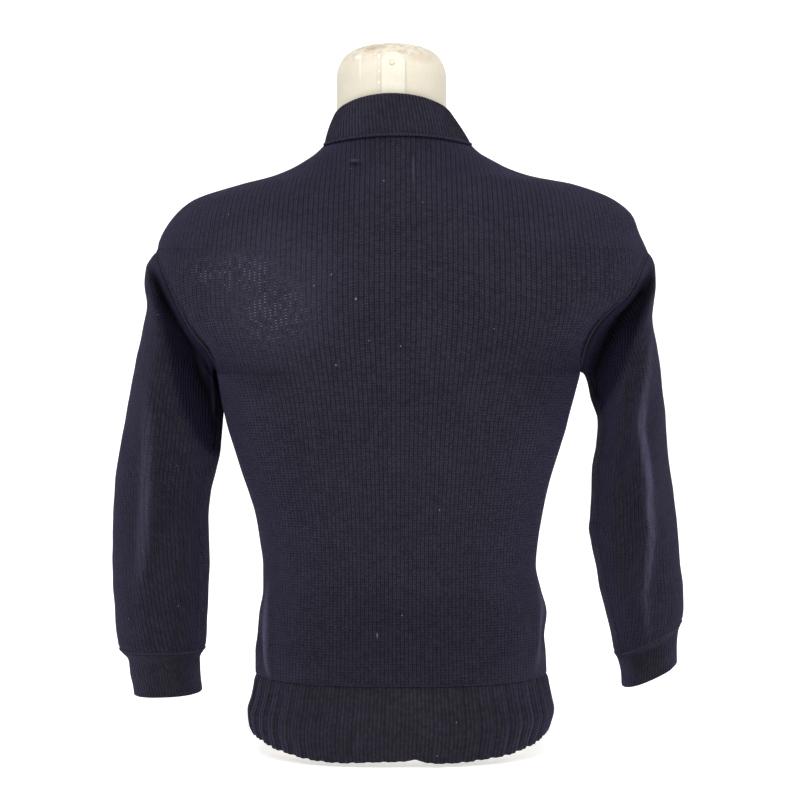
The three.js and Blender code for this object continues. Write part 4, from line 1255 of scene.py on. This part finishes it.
def wool(name, base, colours, kind):
    """Dyed worsted wool, machine knitted."""
    # Its fibres scatter the light, so it is matt and dark with a bluish bloom where light grazes it.
    # Little light reaches between the wales, so dark lines part them.
    rise, dip, slant, split, depth = KNITS[kind]
    depth = depth * colours.gap_depth
    material, tree, shader = new_material(name)
    place = add_node(tree, "ShaderNodeTexCoord").outputs["Object"]
    # The map counts wales and courses at their real size: wales 3.9 to 5 mm wide, courses 2.75 mm high.
    knit = add_node(tree, "ShaderNodeUVMap", {"uv_map": "knit"})
    # Patches of hand tension, dye and fading, and the yarn's fibres, each with its width. Fibres are
    # about 0.1 mm thick; here they are drawn 1.6 mm wide so that they show.
    patches = {}
    for part, size, detail in (
        ("tension", 40, 1.0),
        ("dye", 9, 3.0),
        ("fading", 60, 2.0),
        ("fibre", 1.6, 2.0),
    ):
        links = {"Vector": place, "Scale": 1 / (size * MM), "Detail": detail, "Roughness": RAGGED}
        patches[part] = add_node(tree, "ShaderNodeTexNoise", links=links)
    # The tension strays, so the wales and courses do too.
    strayed = add_node(
        tree,
        "ShaderNodeVectorMath",
        {"operation": "MULTIPLY_ADD"},
        {0: patches["tension"].outputs["Color"], 1: (0.22, 0.5, 0.0), 2: knit},
    )
    parts = add_node(tree, "ShaderNodeSeparateXYZ", links={0: strayed})
    wale = add_node(tree, "ShaderNodeMath", {"operation": "PINGPONG"}, {0: parts.outputs["X"], 1: 0.5})
    links = {0: wale, 1: slant, 2: parts.outputs["Y"]}
    slanted = add_node(tree, "ShaderNodeMath", {"operation": "MULTIPLY_ADD"}, links)
    course = add_node(tree, "ShaderNodeMath", {"operation": "PINGPONG"}, {0: slanted, 1: 0.5})
    hump = add_node(
        tree, "ShaderNodeMapRange", {"interpolation_type": "SMOOTHSTEP"}, {0: wale, "From Max": rise},
    )
    loops = add_node(
        tree,
        "ShaderNodeMapRange",
        {"interpolation_type": "SMOOTHSTEP"},
        {0: course, "From Max": 0.4, "To Min": dip},
    )
    half = add_node(tree, "ShaderNodeMath", {"operation": "PINGPONG"}, {0: parts.outputs["X"], 1: 0.25})
    links = {0: half, "From Max": 0.14, "To Min": split}
    legs = add_node(tree, "ShaderNodeMapRange", {"interpolation_type": "SMOOTHSTEP"}, links)
    links = {0: hump, 1: loops}
    yarn = add_node(tree, "ShaderNodeMath", {"operation": "MULTIPLY"}, links)
    height = add_node(tree, "ShaderNodeMath", {"operation": "MULTIPLY"}, {0: yarn, 1: legs})
    stitch = add_node(tree, "ShaderNodeVectorMath", {"operation": "FLOOR"}, {0: strayed})
    uneven = add_node(tree, "ShaderNodeTexWhiteNoise", {"noise_dimensions": "2D"}, {"Vector": stitch})
    # How much of its colour the wool shows: less between the stitches, uneven with the dye, and almost
    # none where painted shade is laid in at its full depth, in the hollows beside the armholes.
    painted_light = add_node(tree, "ShaderNodeAttribute", {"attribute_name": "painted_shade_and_highlight"}).outputs["Fac"]
    shade = 1.0
    for source, factor, least in (
        (height, depth, 1 - depth),
        (patches["fibre"], 0.9, 0.55),
        (uneven, 0.36, 0.82),
        (patches["dye"], 0.5, 0.75),
        (patches["fading"], 0.4, 0.8),
        (painted_light, -0.93, 1.0),
    ):
        links = {0: source, 1: factor, 2: least}
        share = add_node(tree, "ShaderNodeMath", {"operation": "MULTIPLY_ADD"}, links)
        shade = add_node(tree, "ShaderNodeMath", {"operation": "MULTIPLY"}, {0: shade, 1: share})
    links = {SHARE: shade, UNDER: linear("#020203"), OVER: linear(base)}
    colour = add_node(tree, "ShaderNodeMix", {"data_type": "RGBA"}, links).outputs[BLENDED]
    # A painted highlight, along the sleeves' pressed creases and the back's edges above the welt, is given
    # as a depth below 0 and mixed in pale.
    rubbed = add_node(tree, "ShaderNodeMath", {"operation": "MULTIPLY"}, {0: painted_light, 1: -0.16})
    marks = [(rubbed, "#9491B8")]
    if kind == "stockinette":
        marks.extend((spot(tree, place, *shape), tone) for *shape, tone in BACK_MARKS_AND_PAINTED_LIGHT)
        marks.append((stretched_stitches(tree, place, wale, course), "#A6AAC0"))
    marks.append((lint(tree, place), colours.lint))
    for share, tone in marks:
        links = {SHARE: share, UNDER: colour, OVER: linear(tone)}
        colour = add_node(tree, "ShaderNodeMix", {"data_type": "RGBA"}, links).outputs[BLENDED]
    tree.links.new(colour, shader.inputs["Base Color"])
    links = {0: patches["fibre"], 1: 0.25, 2: height}
    relief = add_node(tree, "ShaderNodeMath", {"operation": "MULTIPLY_ADD"}, links)
    links = {"Strength": 1.0, "Distance": colours.yarn_relief * MM, "Height": relief}
    tree.links.new(add_node(tree, "ShaderNodeBump", links=links).outputs[0], shader.inputs["Normal"])
    shader.inputs["Roughness"].default_value = 0.95
    shader.inputs["IOR"].default_value = 1.5
    shader.inputs["Specular IOR Level"].default_value = 0.08
    shader.inputs["Sheen Weight"].default_value = colours.sheen
    shader.inputs["Sheen Roughness"].default_value = 0.32
    shader.inputs["Sheen Tint"].default_value = linear(colours.bloom)
    return material


def lint(tree, place):
    """Specks of pale lint about a millimetre across, one here and there."""
    links = {"Vector": place, "Scale": 1 / (LINT_SPACING * MM)}
    cells = add_node(tree, "ShaderNodeTexVoronoi", {"feature": "F1"}, links)
    reach = LINT_SIZE / LINT_SPACING
    near = add_node(tree, "ShaderNodeMath", {"operation": "LESS_THAN"}, {0: cells, 1: reach})
    chance = add_node(tree, "ShaderNodeSeparateColor", links={0: cells.outputs["Color"]})
    chosen = add_node(tree, "ShaderNodeMath", {"operation": "GREATER_THAN"}, {0: chance, 1: 0.72})
    both = add_node(tree, "ShaderNodeMath", {"operation": "MULTIPLY"}, {0: near, 1: chosen})
    return add_node(tree, "ShaderNodeMath", {"operation": "MULTIPLY"}, {0: both, 1: 0.5})


def stretched_stitches(tree, place, wale, course):
    """Pale dots between stretched stitches over a shoulder blade, where the form shows through."""
    share = 0.0
    for x, z, width, tall in STRETCHED:
        links = {0: spot(tree, place, x, z, width, tall, 1.0), 1: share}
        share = add_node(tree, "ShaderNodeMath", {"operation": "MAXIMUM"}, links)
    # The holes open in patches about 5 mm wide.
    links = {"Vector": place, "Scale": 1 / (5 * MM), "Detail": 1.0, "Roughness": RAGGED}
    open_patch = add_node(tree, "ShaderNodeTexNoise", links=links)
    for source, operation, limit in (
        (open_patch, "GREATER_THAN", 0.5),
        (wale, "LESS_THAN", 0.14),
        (course, "GREATER_THAN", 0.3),
    ):
        passed = add_node(tree, "ShaderNodeMath", {"operation": operation}, {0: source, 1: limit})
        share = add_node(tree, "ShaderNodeMath", {"operation": "MULTIPLY"}, {0: share, 1: passed})
    return add_node(tree, "ShaderNodeMath", {"operation": "MULTIPLY"}, {0: share, 1: 0.3})


def painted_form(name, base, stain):
    """Papier mache, moulded and covered with cream paint."""
    # Old brushed paint is satin and a little uneven in tone, with brown stains where hands rub its top.
    material, tree, shader = new_material(name)
    place = add_node(tree, "ShaderNodeTexCoord").outputs["Object"]
    # Blotches of age, patches rubbed through, and brush marks, each with its width in millimetres.
    patches = {}
    for part, size, detail in (("blotch", 22, 5.0), ("rub", 7, 6.0), ("brush", 2.5, 3.0)):
        links = {"Vector": place, "Scale": 1 / (size * MM), "Detail": detail, "Roughness": RAGGED}
        patches[part] = add_node(tree, "ShaderNodeTexNoise", links=links)
    height = add_node(tree, "ShaderNodeSeparateXYZ", links={0: place}).outputs["Z"]
    edge = add_node(
        tree,
        "ShaderNodeMapRange",
        {"interpolation_type": "SMOOTHSTEP"},
        {0: height, "From Min": NECK_RUBBED[0] * MM, "From Max": NECK_RUBBED[1] * MM},
    )
    links = {0: patches["rub"], "From Min": 0.45, "From Max": 0.65, "To Max": 0.9}
    wear_and_painted_highlight = add_node(tree, "ShaderNodeMapRange", links=links)
    rubbed = add_node(tree, "ShaderNodeMath", {"operation": "MULTIPLY"}, {0: edge, 1: wear_and_painted_highlight})
    marks = [(patches["brush"], "#CFC3AC"), (patches["blotch"], "#E2DCCB"), (rubbed, stain)]
    marks.extend((spot(tree, place, *shape), tone) for *shape, tone in NECK_TONES)
    colour = linear(base)
    for share, tone in marks:
        links = {SHARE: share, UNDER: colour, OVER: linear(tone)}
        colour = add_node(tree, "ShaderNodeMix", {"data_type": "RGBA"}, links).outputs[BLENDED]
    tree.links.new(colour, shader.inputs["Base Color"])
    links = {0: patches["brush"], 1: 0.4, 2: patches["blotch"]}
    relief = add_node(tree, "ShaderNodeMath", {"operation": "MULTIPLY_ADD"}, links)
    links = {"Strength": 0.5, "Distance": 0.5 * MM, "Height": relief}
    tree.links.new(add_node(tree, "ShaderNodeBump", links=links).outputs[0], shader.inputs["Normal"])
    links = {0: patches["rub"], 1: 0.3, 2: 0.42}
    rough = add_node(tree, "ShaderNodeMath", {"operation": "MULTIPLY_ADD"}, links)
    tree.links.new(rough.outputs[0], shader.inputs["Roughness"])
    shader.inputs["IOR"].default_value = 1.5
    return material


def moulded_strap(name, base):
    """Polymer tape, moulded."""
    # Its moulded face is smooth and slightly glossy, and has yellowed in patches about 12 mm wide.
    material, tree, shader = new_material(name)
    place = add_node(tree, "ShaderNodeTexCoord").outputs["Object"]
    links = {"Vector": place, "Scale": 1 / (12 * MM), "Detail": 4.0, "Roughness": RAGGED}
    patch = add_node(tree, "ShaderNodeTexNoise", links=links)
    links = {SHARE: patch, UNDER: linear(base), OVER: linear("#EEE6D0")}
    colour = add_node(tree, "ShaderNodeMix", {"data_type": "RGBA"}, links).outputs[BLENDED]
    tree.links.new(colour, shader.inputs["Base Color"])
    links = {"Strength": 0.4, "Distance": 0.3 * MM, "Height": patch}
    tree.links.new(add_node(tree, "ShaderNodeBump", links=links).outputs[0], shader.inputs["Normal"])
    shader.inputs["Roughness"].default_value = 0.45
    shader.inputs["IOR"].default_value = 1.5
    return material


def painted_screw(name, base):
    """Turned steel under cream paint."""
    # The paint is satin, and steel glints where it has chipped off in spots about a millimetre wide.
    material, tree, shader = new_material(name)
    place = add_node(tree, "ShaderNodeTexCoord").outputs["Object"]
    links = {"Vector": place, "Scale": 1 / (1.2 * MM), "Detail": 3.0, "Roughness": RAGGED}
    chips = add_node(tree, "ShaderNodeTexNoise", links=links)
    bare = add_node(tree, "ShaderNodeMath", {"operation": "GREATER_THAN"}, {0: chips, 1: 0.58})
    links = {SHARE: bare, UNDER: linear(base), OVER: linear("#A79E8A")}
    colour = add_node(tree, "ShaderNodeMix", {"data_type": "RGBA"}, links).outputs[BLENDED]
    tree.links.new(colour, shader.inputs["Base Color"])
    metal = add_node(tree, "ShaderNodeMath", {"operation": "MULTIPLY"}, {0: bare, 1: 0.8})
    tree.links.new(metal.outputs[0], shader.inputs["Metallic"])
    shader.inputs["Roughness"].default_value = 0.4
    return material


def studio_paper(name, base):
    """Matt white paper, rolled."""
    # It gives no reflections, only the faint mottle of its pulp, drawn 60 mm wide so that it shows.
    material, tree, shader = new_material(name)
    place = add_node(tree, "ShaderNodeTexCoord").outputs["Object"]
    links = {"Vector": place, "Scale": 1 / (60 * MM), "Detail": 2.0, "Roughness": RAGGED}
    pulp = add_node(tree, "ShaderNodeTexNoise", links=links)
    links = {SHARE: pulp, UNDER: linear(base), OVER: linear("#FAFAFA")}
    colour = add_node(tree, "ShaderNodeMix", {"data_type": "RGBA"}, links).outputs[BLENDED]
    tree.links.new(colour, shader.inputs["Base Color"])
    shader.inputs["Roughness"].default_value = 0.9
    shader.inputs["Emission Color"].default_value = linear("#FFFFFF")
    shader.inputs["Emission Strength"].default_value = 0.55
    return material


# The stage, in metres

# The paper: where the floor starts and its bend begins, the bend's radius, the wall, half the width.
PAPER = {"start": 6.0, "bend": -2.5, "radius": 1.5, "wall": (1.5, 3.5), "half": 7}
# The lamps: their width, what they are turned to, and where they hang.
LAMP_SIZE = 1.6
LAMP_AIM = (0, 0, 0.38)
KEY_PLACE = (1.4, 1.7, 2.2)
FILL_PLACE = (-1.6, 1.6, 2.0)
TOP_PLACE = (0.1, 0.9, 2.3)


def turned_to(holder, target):
    """Turns a lamp or a camera so that it looks at a point."""
    aim = Vector(target) - holder.location
    holder.rotation_euler = aim.to_track_quat("-Z", "Y").to_euler()


def stage_floor(studio):
    """A paper sweep: the floor, a round bend and the wall."""
    radius = PAPER["radius"]
    profile = [(mix(PAPER["start"], PAPER["bend"], t), 0.0) for t in even(10)]
    for angle in np.linspace(0, math.pi / 2, 13)[1:]:
        profile.append((PAPER["bend"] - radius * math.sin(angle), radius * (1 - math.cos(angle))))
    profile.extend((PAPER["bend"] - radius, radius + height) for height in PAPER["wall"])
    across = np.linspace(-PAPER["half"], PAPER["half"], 15)
    grid = np.array([[(x, y, z) for x in across] for y, z in profile]) / MM
    towards = np.broadcast_to(np.array((0.0, 0.4, 1.0)), grid.shape)
    paper = grid_piece("paper_sweep", grid, grid[..., :2] * MM, towards)
    paper.data.materials.append(studio_paper("studio_paper", studio.paper))


def studio_lamp(name, place, power):
    """A large soft lamp."""
    lamp = bpy.data.lights.new(name, "AREA")
    lamp.energy = power
    lamp.size = LAMP_SIZE
    holder = bpy.data.objects.new(name, lamp)
    holder.location = place
    turned_to(holder, LAMP_AIM)
    bpy.context.scene.collection.objects.link(holder)


# What a user may change

class SweaterSizes(bpy.types.PropertyGroup):
    """Sizes of the knitting."""

    wall: bpy.props.FloatProperty(
        name="Cloth thickness",
        description="Thickness of the body's and sleeves' cloth, in millimetres",
        default=CLOTH,
        min=1.0,
        max=4.0,
    )
    collar_wall: bpy.props.FloatProperty(
        name="Collar thickness",
        description="Thickness of the double collar, in millimetres",
        default=3.4,
        min=2.0,
        max=5.0,
    )
    welt_wall: bpy.props.FloatProperty(
        name="Welt thickness",
        description="Thickness of the welt between two ribs, in millimetres",
        default=2.0,
        min=1.0,
        max=4.0,
    )
    course: bpy.props.FloatProperty(
        name="Course height",
        description="Height of one row of stitches, in millimetres",
        default=2.75,
        min=1.5,
        max=5.0,
    )
    wale_scale: bpy.props.FloatProperty(
        name="Stitch width",
        description="Width of the stitches, as a factor of the measured one",
        default=1.0,
        min=0.5,
        max=2.0,
        subtype="FACTOR",
    )
    collar_rise: bpy.props.FloatProperty(
        name="Collar rib height",
        description="How far the collar's fine ribs stand out, in millimetres",
        default=0.9,
        min=0.0,
        max=2.0,
    )
    welt_rise: bpy.props.FloatProperty(
        name="Welt rib height",
        description="How far the welt's ribs stand out, in millimetres",
        default=2.4,
        min=0.0,
        max=4.0,
    )


class SweaterColours(bpy.types.PropertyGroup):
    """Colours and finish of the wool."""

    wool: bpy.props.StringProperty(
        name="Wool",
        description="Colour of the body's wool, as an sRGB hex value",
        default="#33313D",
    )
    rib: bpy.props.StringProperty(
        name="Rib",
        description="Colour of the ribbed wool, as an sRGB hex value",
        default="#32303A",
    )
    lint: bpy.props.StringProperty(
        name="Lint",
        description="Colour of the lint, as an sRGB hex value",
        default="#B9B6B8",
    )
    bloom: bpy.props.StringProperty(
        name="Bloom",
        description="Colour of the fibres' sheen, as an sRGB hex value",
        default="#8C86C8",
    )
    sheen: bpy.props.FloatProperty(
        name="Sheen",
        description="Strength of the fibres' sheen",
        default=0.2,
        min=0.0,
        max=1.0,
        subtype="FACTOR",
    )
    gap_depth: bpy.props.FloatProperty(
        name="Gap darkness",
        description="How dark the gaps between stitches are",
        default=0.66,
        min=0.0,
        max=1.0,
        subtype="FACTOR",
    )
    yarn_relief: bpy.props.FloatProperty(
        name="Yarn relief",
        description="Depth between two yarns, in millimetres",
        default=1.1,
        min=0.0,
        max=3.0,
    )


class FormColours(bpy.types.PropertyGroup):
    """Colours of the dress form and its fittings."""

    paint: bpy.props.StringProperty(
        name="Paint",
        description="Colour of the form's paint, as an sRGB hex value",
        default="#DDD7C4",
    )
    stain: bpy.props.StringProperty(
        name="Rub marks",
        description="Colour of the rubbed upper edge, as an sRGB hex value",
        default="#B59B82",
    )
    strap: bpy.props.StringProperty(
        name="Strap",
        description="Colour of the strap plate, as an sRGB hex value",
        default="#D5D2C6",
    )
    screw: bpy.props.StringProperty(
        name="Screw",
        description="Colour of the painted screw, as an sRGB hex value",
        default="#E4DBC6",
    )


class StudioSettings(bpy.types.PropertyGroup):
    """Camera and light."""

    distance: bpy.props.FloatProperty(
        name="Camera distance",
        description="Distance of the camera from the middle of the form",
        default=2.4,
        unit="LENGTH",
    )
    eye: bpy.props.FloatProperty(
        name="Camera height",
        description="Height of the camera",
        default=0.459,
        unit="LENGTH",
    )
    aim: bpy.props.FloatProperty(
        name="Aim height",
        description="Height that the camera looks at",
        default=0.3517,
        unit="LENGTH",
    )
    lens: bpy.props.FloatProperty(
        name="Lens",
        description="Focal length in millimetres",
        default=108.1,
    )
    key: bpy.props.FloatProperty(
        name="Key light",
        description="Power of the key light in watts",
        default=17.0,
    )
    fill: bpy.props.FloatProperty(
        name="Fill light",
        description="Power of the fill light in watts",
        default=16.0,
    )
    top: bpy.props.FloatProperty(
        name="Top light",
        description="Power of the top light in watts",
        default=22.0,
    )
    sky: bpy.props.FloatProperty(
        name="Room light",
        description="Strength of the light from all round",
        default=0.4,
    )
    paper: bpy.props.StringProperty(
        name="Paper",
        description="Colour of the floor and wall, as an sRGB hex value",
        default="#F6F6F6",
    )


# Operators

class SweaterOperator:
    """What the operators that knit share."""

    bl_options = {"REGISTER", "UNDO"}

    @staticmethod
    def wools(scene):
        """The wool materials, made once."""
        colours = scene.sweater_colours
        made = {}
        for name, base, kind in (
            ("stockinette_worsted_wool", colours.wool, "stockinette"),
            ("ribbed_worsted_wool", colours.rib, "rib"),
            ("linked_wool_seam", colours.rib, "roll"),
        ):
            made[name] = bpy.data.materials.get(name) or wool(name, base, colours, kind)
        return made.values()


class SWEATER_OT_body(SweaterOperator, bpy.types.Operator):
    """Knits the back and the front, with their seams"""

    bl_idname = "sweater.body"
    bl_label = "Body"

    def execute(self, context):
        sizes = context.scene.sweater_sizes
        cloth, _, seam = self.wools(context.scene)
        halves = (
            ("knit_back", 1, BACK_CREASES, "back_panel", (0.48, 0.56), 0.236),
            ("knit_front", -1, FRONT_CREASES, "front_panel", (0.5, 0.56), 0.243),
        )
        for name, face, creases, node, flat, area in halves:
            piece = dress(panel(name, face, creases, sizes), cloth, (node,))
        for name, side in (("left", 1), ("right", -1)):
            line, _ = panel_edge(1, side, SIDE_STRETCH)
            facing = np.broadcast_to(np.array((float(side), 0.0, 0.0)), line.shape)
            dress(seam_roll(f"side_seam_{name}", "side", line, facing), seam)
            line, facing = panel_edge(1, side, SHOULDER_STRETCH)
            dress(seam_roll(f"shoulder_seam_{name}", "shoulder", line, facing), seam)
            line, facing = armhole_ring(side)
            out = facing + np.array((side * ARMHOLE_TURN, 0.0, 0.0))
            out = out / np.linalg.norm(out, axis=1, keepdims=True)
            join = seam_roll(f"armhole_seam_{name}", "armhole", line, out, closed=True)
            dress(join, seam)
        return {"FINISHED"}


class SWEATER_OT_sleeves(SweaterOperator, bpy.types.Operator):
    """Knits both sleeves and their cuffs"""

    bl_idname = "sweater.sleeves"
    bl_label = "Sleeves and cuffs"

    def execute(self, context):
        sizes = context.scene.sweater_sizes
        cloth, rib, seam = self.wools(context.scene)
        for name, spec in SLEEVES.items():
            piece, grid, normals = sleeve_shell(name, spec, sizes)
            dress(piece, cloth, (f"sleeve_{name}",))
            cuff = dress(cuff_shell(name, spec, grid[-1], sizes), rib, (f"cuff_{name}",))
            join = seam_roll(f"cuff_seam_{name}", "cuff", grid[-1], normals[-1], closed=True)
            dress(join, seam)
            line, facing = inner_seam(grid, normals)
            # The seam takes the same painted shade where it runs through the hollow beside the armhole.
            depth = hollow_depth(name, spec["side"], line)
            down = seam_roll(f"sleeve_seam_{name}", "sleeve", line, facing, depth=depth)
            dress(down, seam)
        return {"FINISHED"}


class SWEATER_OT_collar(SweaterOperator, bpy.types.Operator):
    """Knits the double stand collar and the raised seam under it"""

    bl_idname = "sweater.collar"
    bl_label = "Collar"

    def execute(self, context):
        _, rib, seam = self.wools(context.scene)
        piece, line, facing = collar_shell(context.scene.sweater_sizes)
        dress(piece, rib, ("collar",))
        join = seam_roll("collar_seam", "collar", line[::4], facing[::4], closed=True)
        dress(join, seam)
        return {"FINISHED"}


class SWEATER_OT_welt(SweaterOperator, bpy.types.Operator):
    """Knits the deep 2x2 ribbed welt"""

    bl_idname = "sweater.welt"
    bl_label = "Welt"

    def execute(self, context):
        sizes = context.scene.sweater_sizes
        _, rib, seam = self.wools(context.scene)
        for name, face, node, above in (
            ("rib_welt_back", 1, "welt_back", "knit_back"),
            ("rib_welt_front", -1, "welt_front", "knit_front"),
        ):
            piece = dress(welt_shell(name, face, sizes), rib, (node,))
            grid, normals = body_grid(face)
            dress(seam_roll(f"{name}_seam", "welt", grid[0], normals[0]), seam)
        return {"FINISHED"}


class SWEATER_OT_form(bpy.types.Operator):
    """Builds the limbless dress form"""

    bl_idname = "sweater.form"
    bl_label = "Dress form"

    def execute(self, context):
        colours = context.scene.form_colours
        paint = painted_form("old_cream_paint", colours.paint, colours.stain)
        dress(form_shell(), paint, ("dress_form",))
        return {"FINISHED"}


class SWEATER_OT_strap(bpy.types.Operator):
    """Builds the strap plate on the form's neck, with its screw"""

    bl_idname = "sweater.strap"
    bl_label = "Strap and screw"

    def execute(self, context):
        colours = context.scene.form_colours
        dress(strap_shell(), moulded_strap("moulded_tape", colours.strap), ("neck_strap",))
        dress(screw_head(), painted_screw("painted_steel", colours.screw), ("strap_screw",))
        return {"FINISHED"}


class SWEATER_OT_stage(bpy.types.Operator):
    """Sets the plain pale floor, the soft studio light and the camera"""

    bl_idname = "sweater.stage"
    bl_label = "Stage"

    def execute(self, context):
        scene = context.scene
        studio = scene.studio_settings
        stage_floor(studio)
        studio_lamp("key_light", KEY_PLACE, studio.key)
        studio_lamp("fill_light", FILL_PLACE, studio.fill)
        studio_lamp("top_light", TOP_PLACE, studio.top)
        world = bpy.data.worlds.new("studio_room")
        world.use_nodes = True
        sky = world.node_tree.nodes["Background"]
        sky.inputs["Color"].default_value = (1, 1, 1, 1)
        sky.inputs["Strength"].default_value = studio.sky
        scene.world = world
        lens = bpy.data.cameras.new("camera")
        lens.sensor_width = 36
        lens.lens = studio.lens
        lens.clip_end = 50
        camera = bpy.data.objects.new("camera", lens)
        camera.location = (0, studio.distance, studio.eye)
        turned_to(camera, (0, 0, studio.aim))
        scene.collection.objects.link(camera)
        scene.camera = camera
        scene.view_settings.view_transform = "Standard"
        return {"FINISHED"}


class SWEATER_PT_parts(bpy.types.Panel):
    """Lists the sweater's pieces and settings"""

    bl_label = "Naval sweater"
    bl_idname = "SWEATER_PT_parts"
    bl_space_type = "VIEW_3D"
    bl_region_type = "UI"
    bl_category = "Sweater"

    def draw(self, context):
        for operator in OPERATORS:
            self.layout.operator(operator.bl_idname)
        for name in GROUPS:
            settings = getattr(context.scene, name)
            box = self.layout.box()
            for prop in settings.bl_rna.properties:
                if not prop.is_readonly and prop.identifier != "name":
                    box.prop(settings, prop.identifier)


OPERATORS = (
    SWEATER_OT_stage,
    SWEATER_OT_form,
    SWEATER_OT_strap,
    SWEATER_OT_body,
    SWEATER_OT_sleeves,
    SWEATER_OT_collar,
    SWEATER_OT_welt,
)
GROUPS = {
    "sweater_sizes": SweaterSizes,
    "sweater_colours": SweaterColours,
    "form_colours": FormColours,
    "studio_settings": StudioSettings,
}


def register():
    """Registers the classes and the scene's settings."""
    for name, group in GROUPS.items():
        bpy.utils.register_class(group)
        setattr(bpy.types.Scene, name, bpy.props.PointerProperty(type=group))
    for operator in OPERATORS:
        bpy.utils.register_class(operator)
    bpy.utils.register_class(SWEATER_PT_parts)


def unregister():
    """Removes them again."""
    bpy.utils.unregister_class(SWEATER_PT_parts)
    for operator in reversed(OPERATORS):
        bpy.utils.unregister_class(operator)
    for name, group in GROUPS.items():
        delattr(bpy.types.Scene, name)
        bpy.utils.unregister_class(group)


def main():
    """Builds every piece in order."""
    register()
    bpy.ops.sweater.stage()
    bpy.ops.sweater.form()
    bpy.ops.sweater.strap()
    bpy.ops.sweater.body()
    bpy.ops.sweater.sleeves()
    bpy.ops.sweater.collar()
    bpy.ops.sweater.welt()


if __name__ == "__main__":
    main()
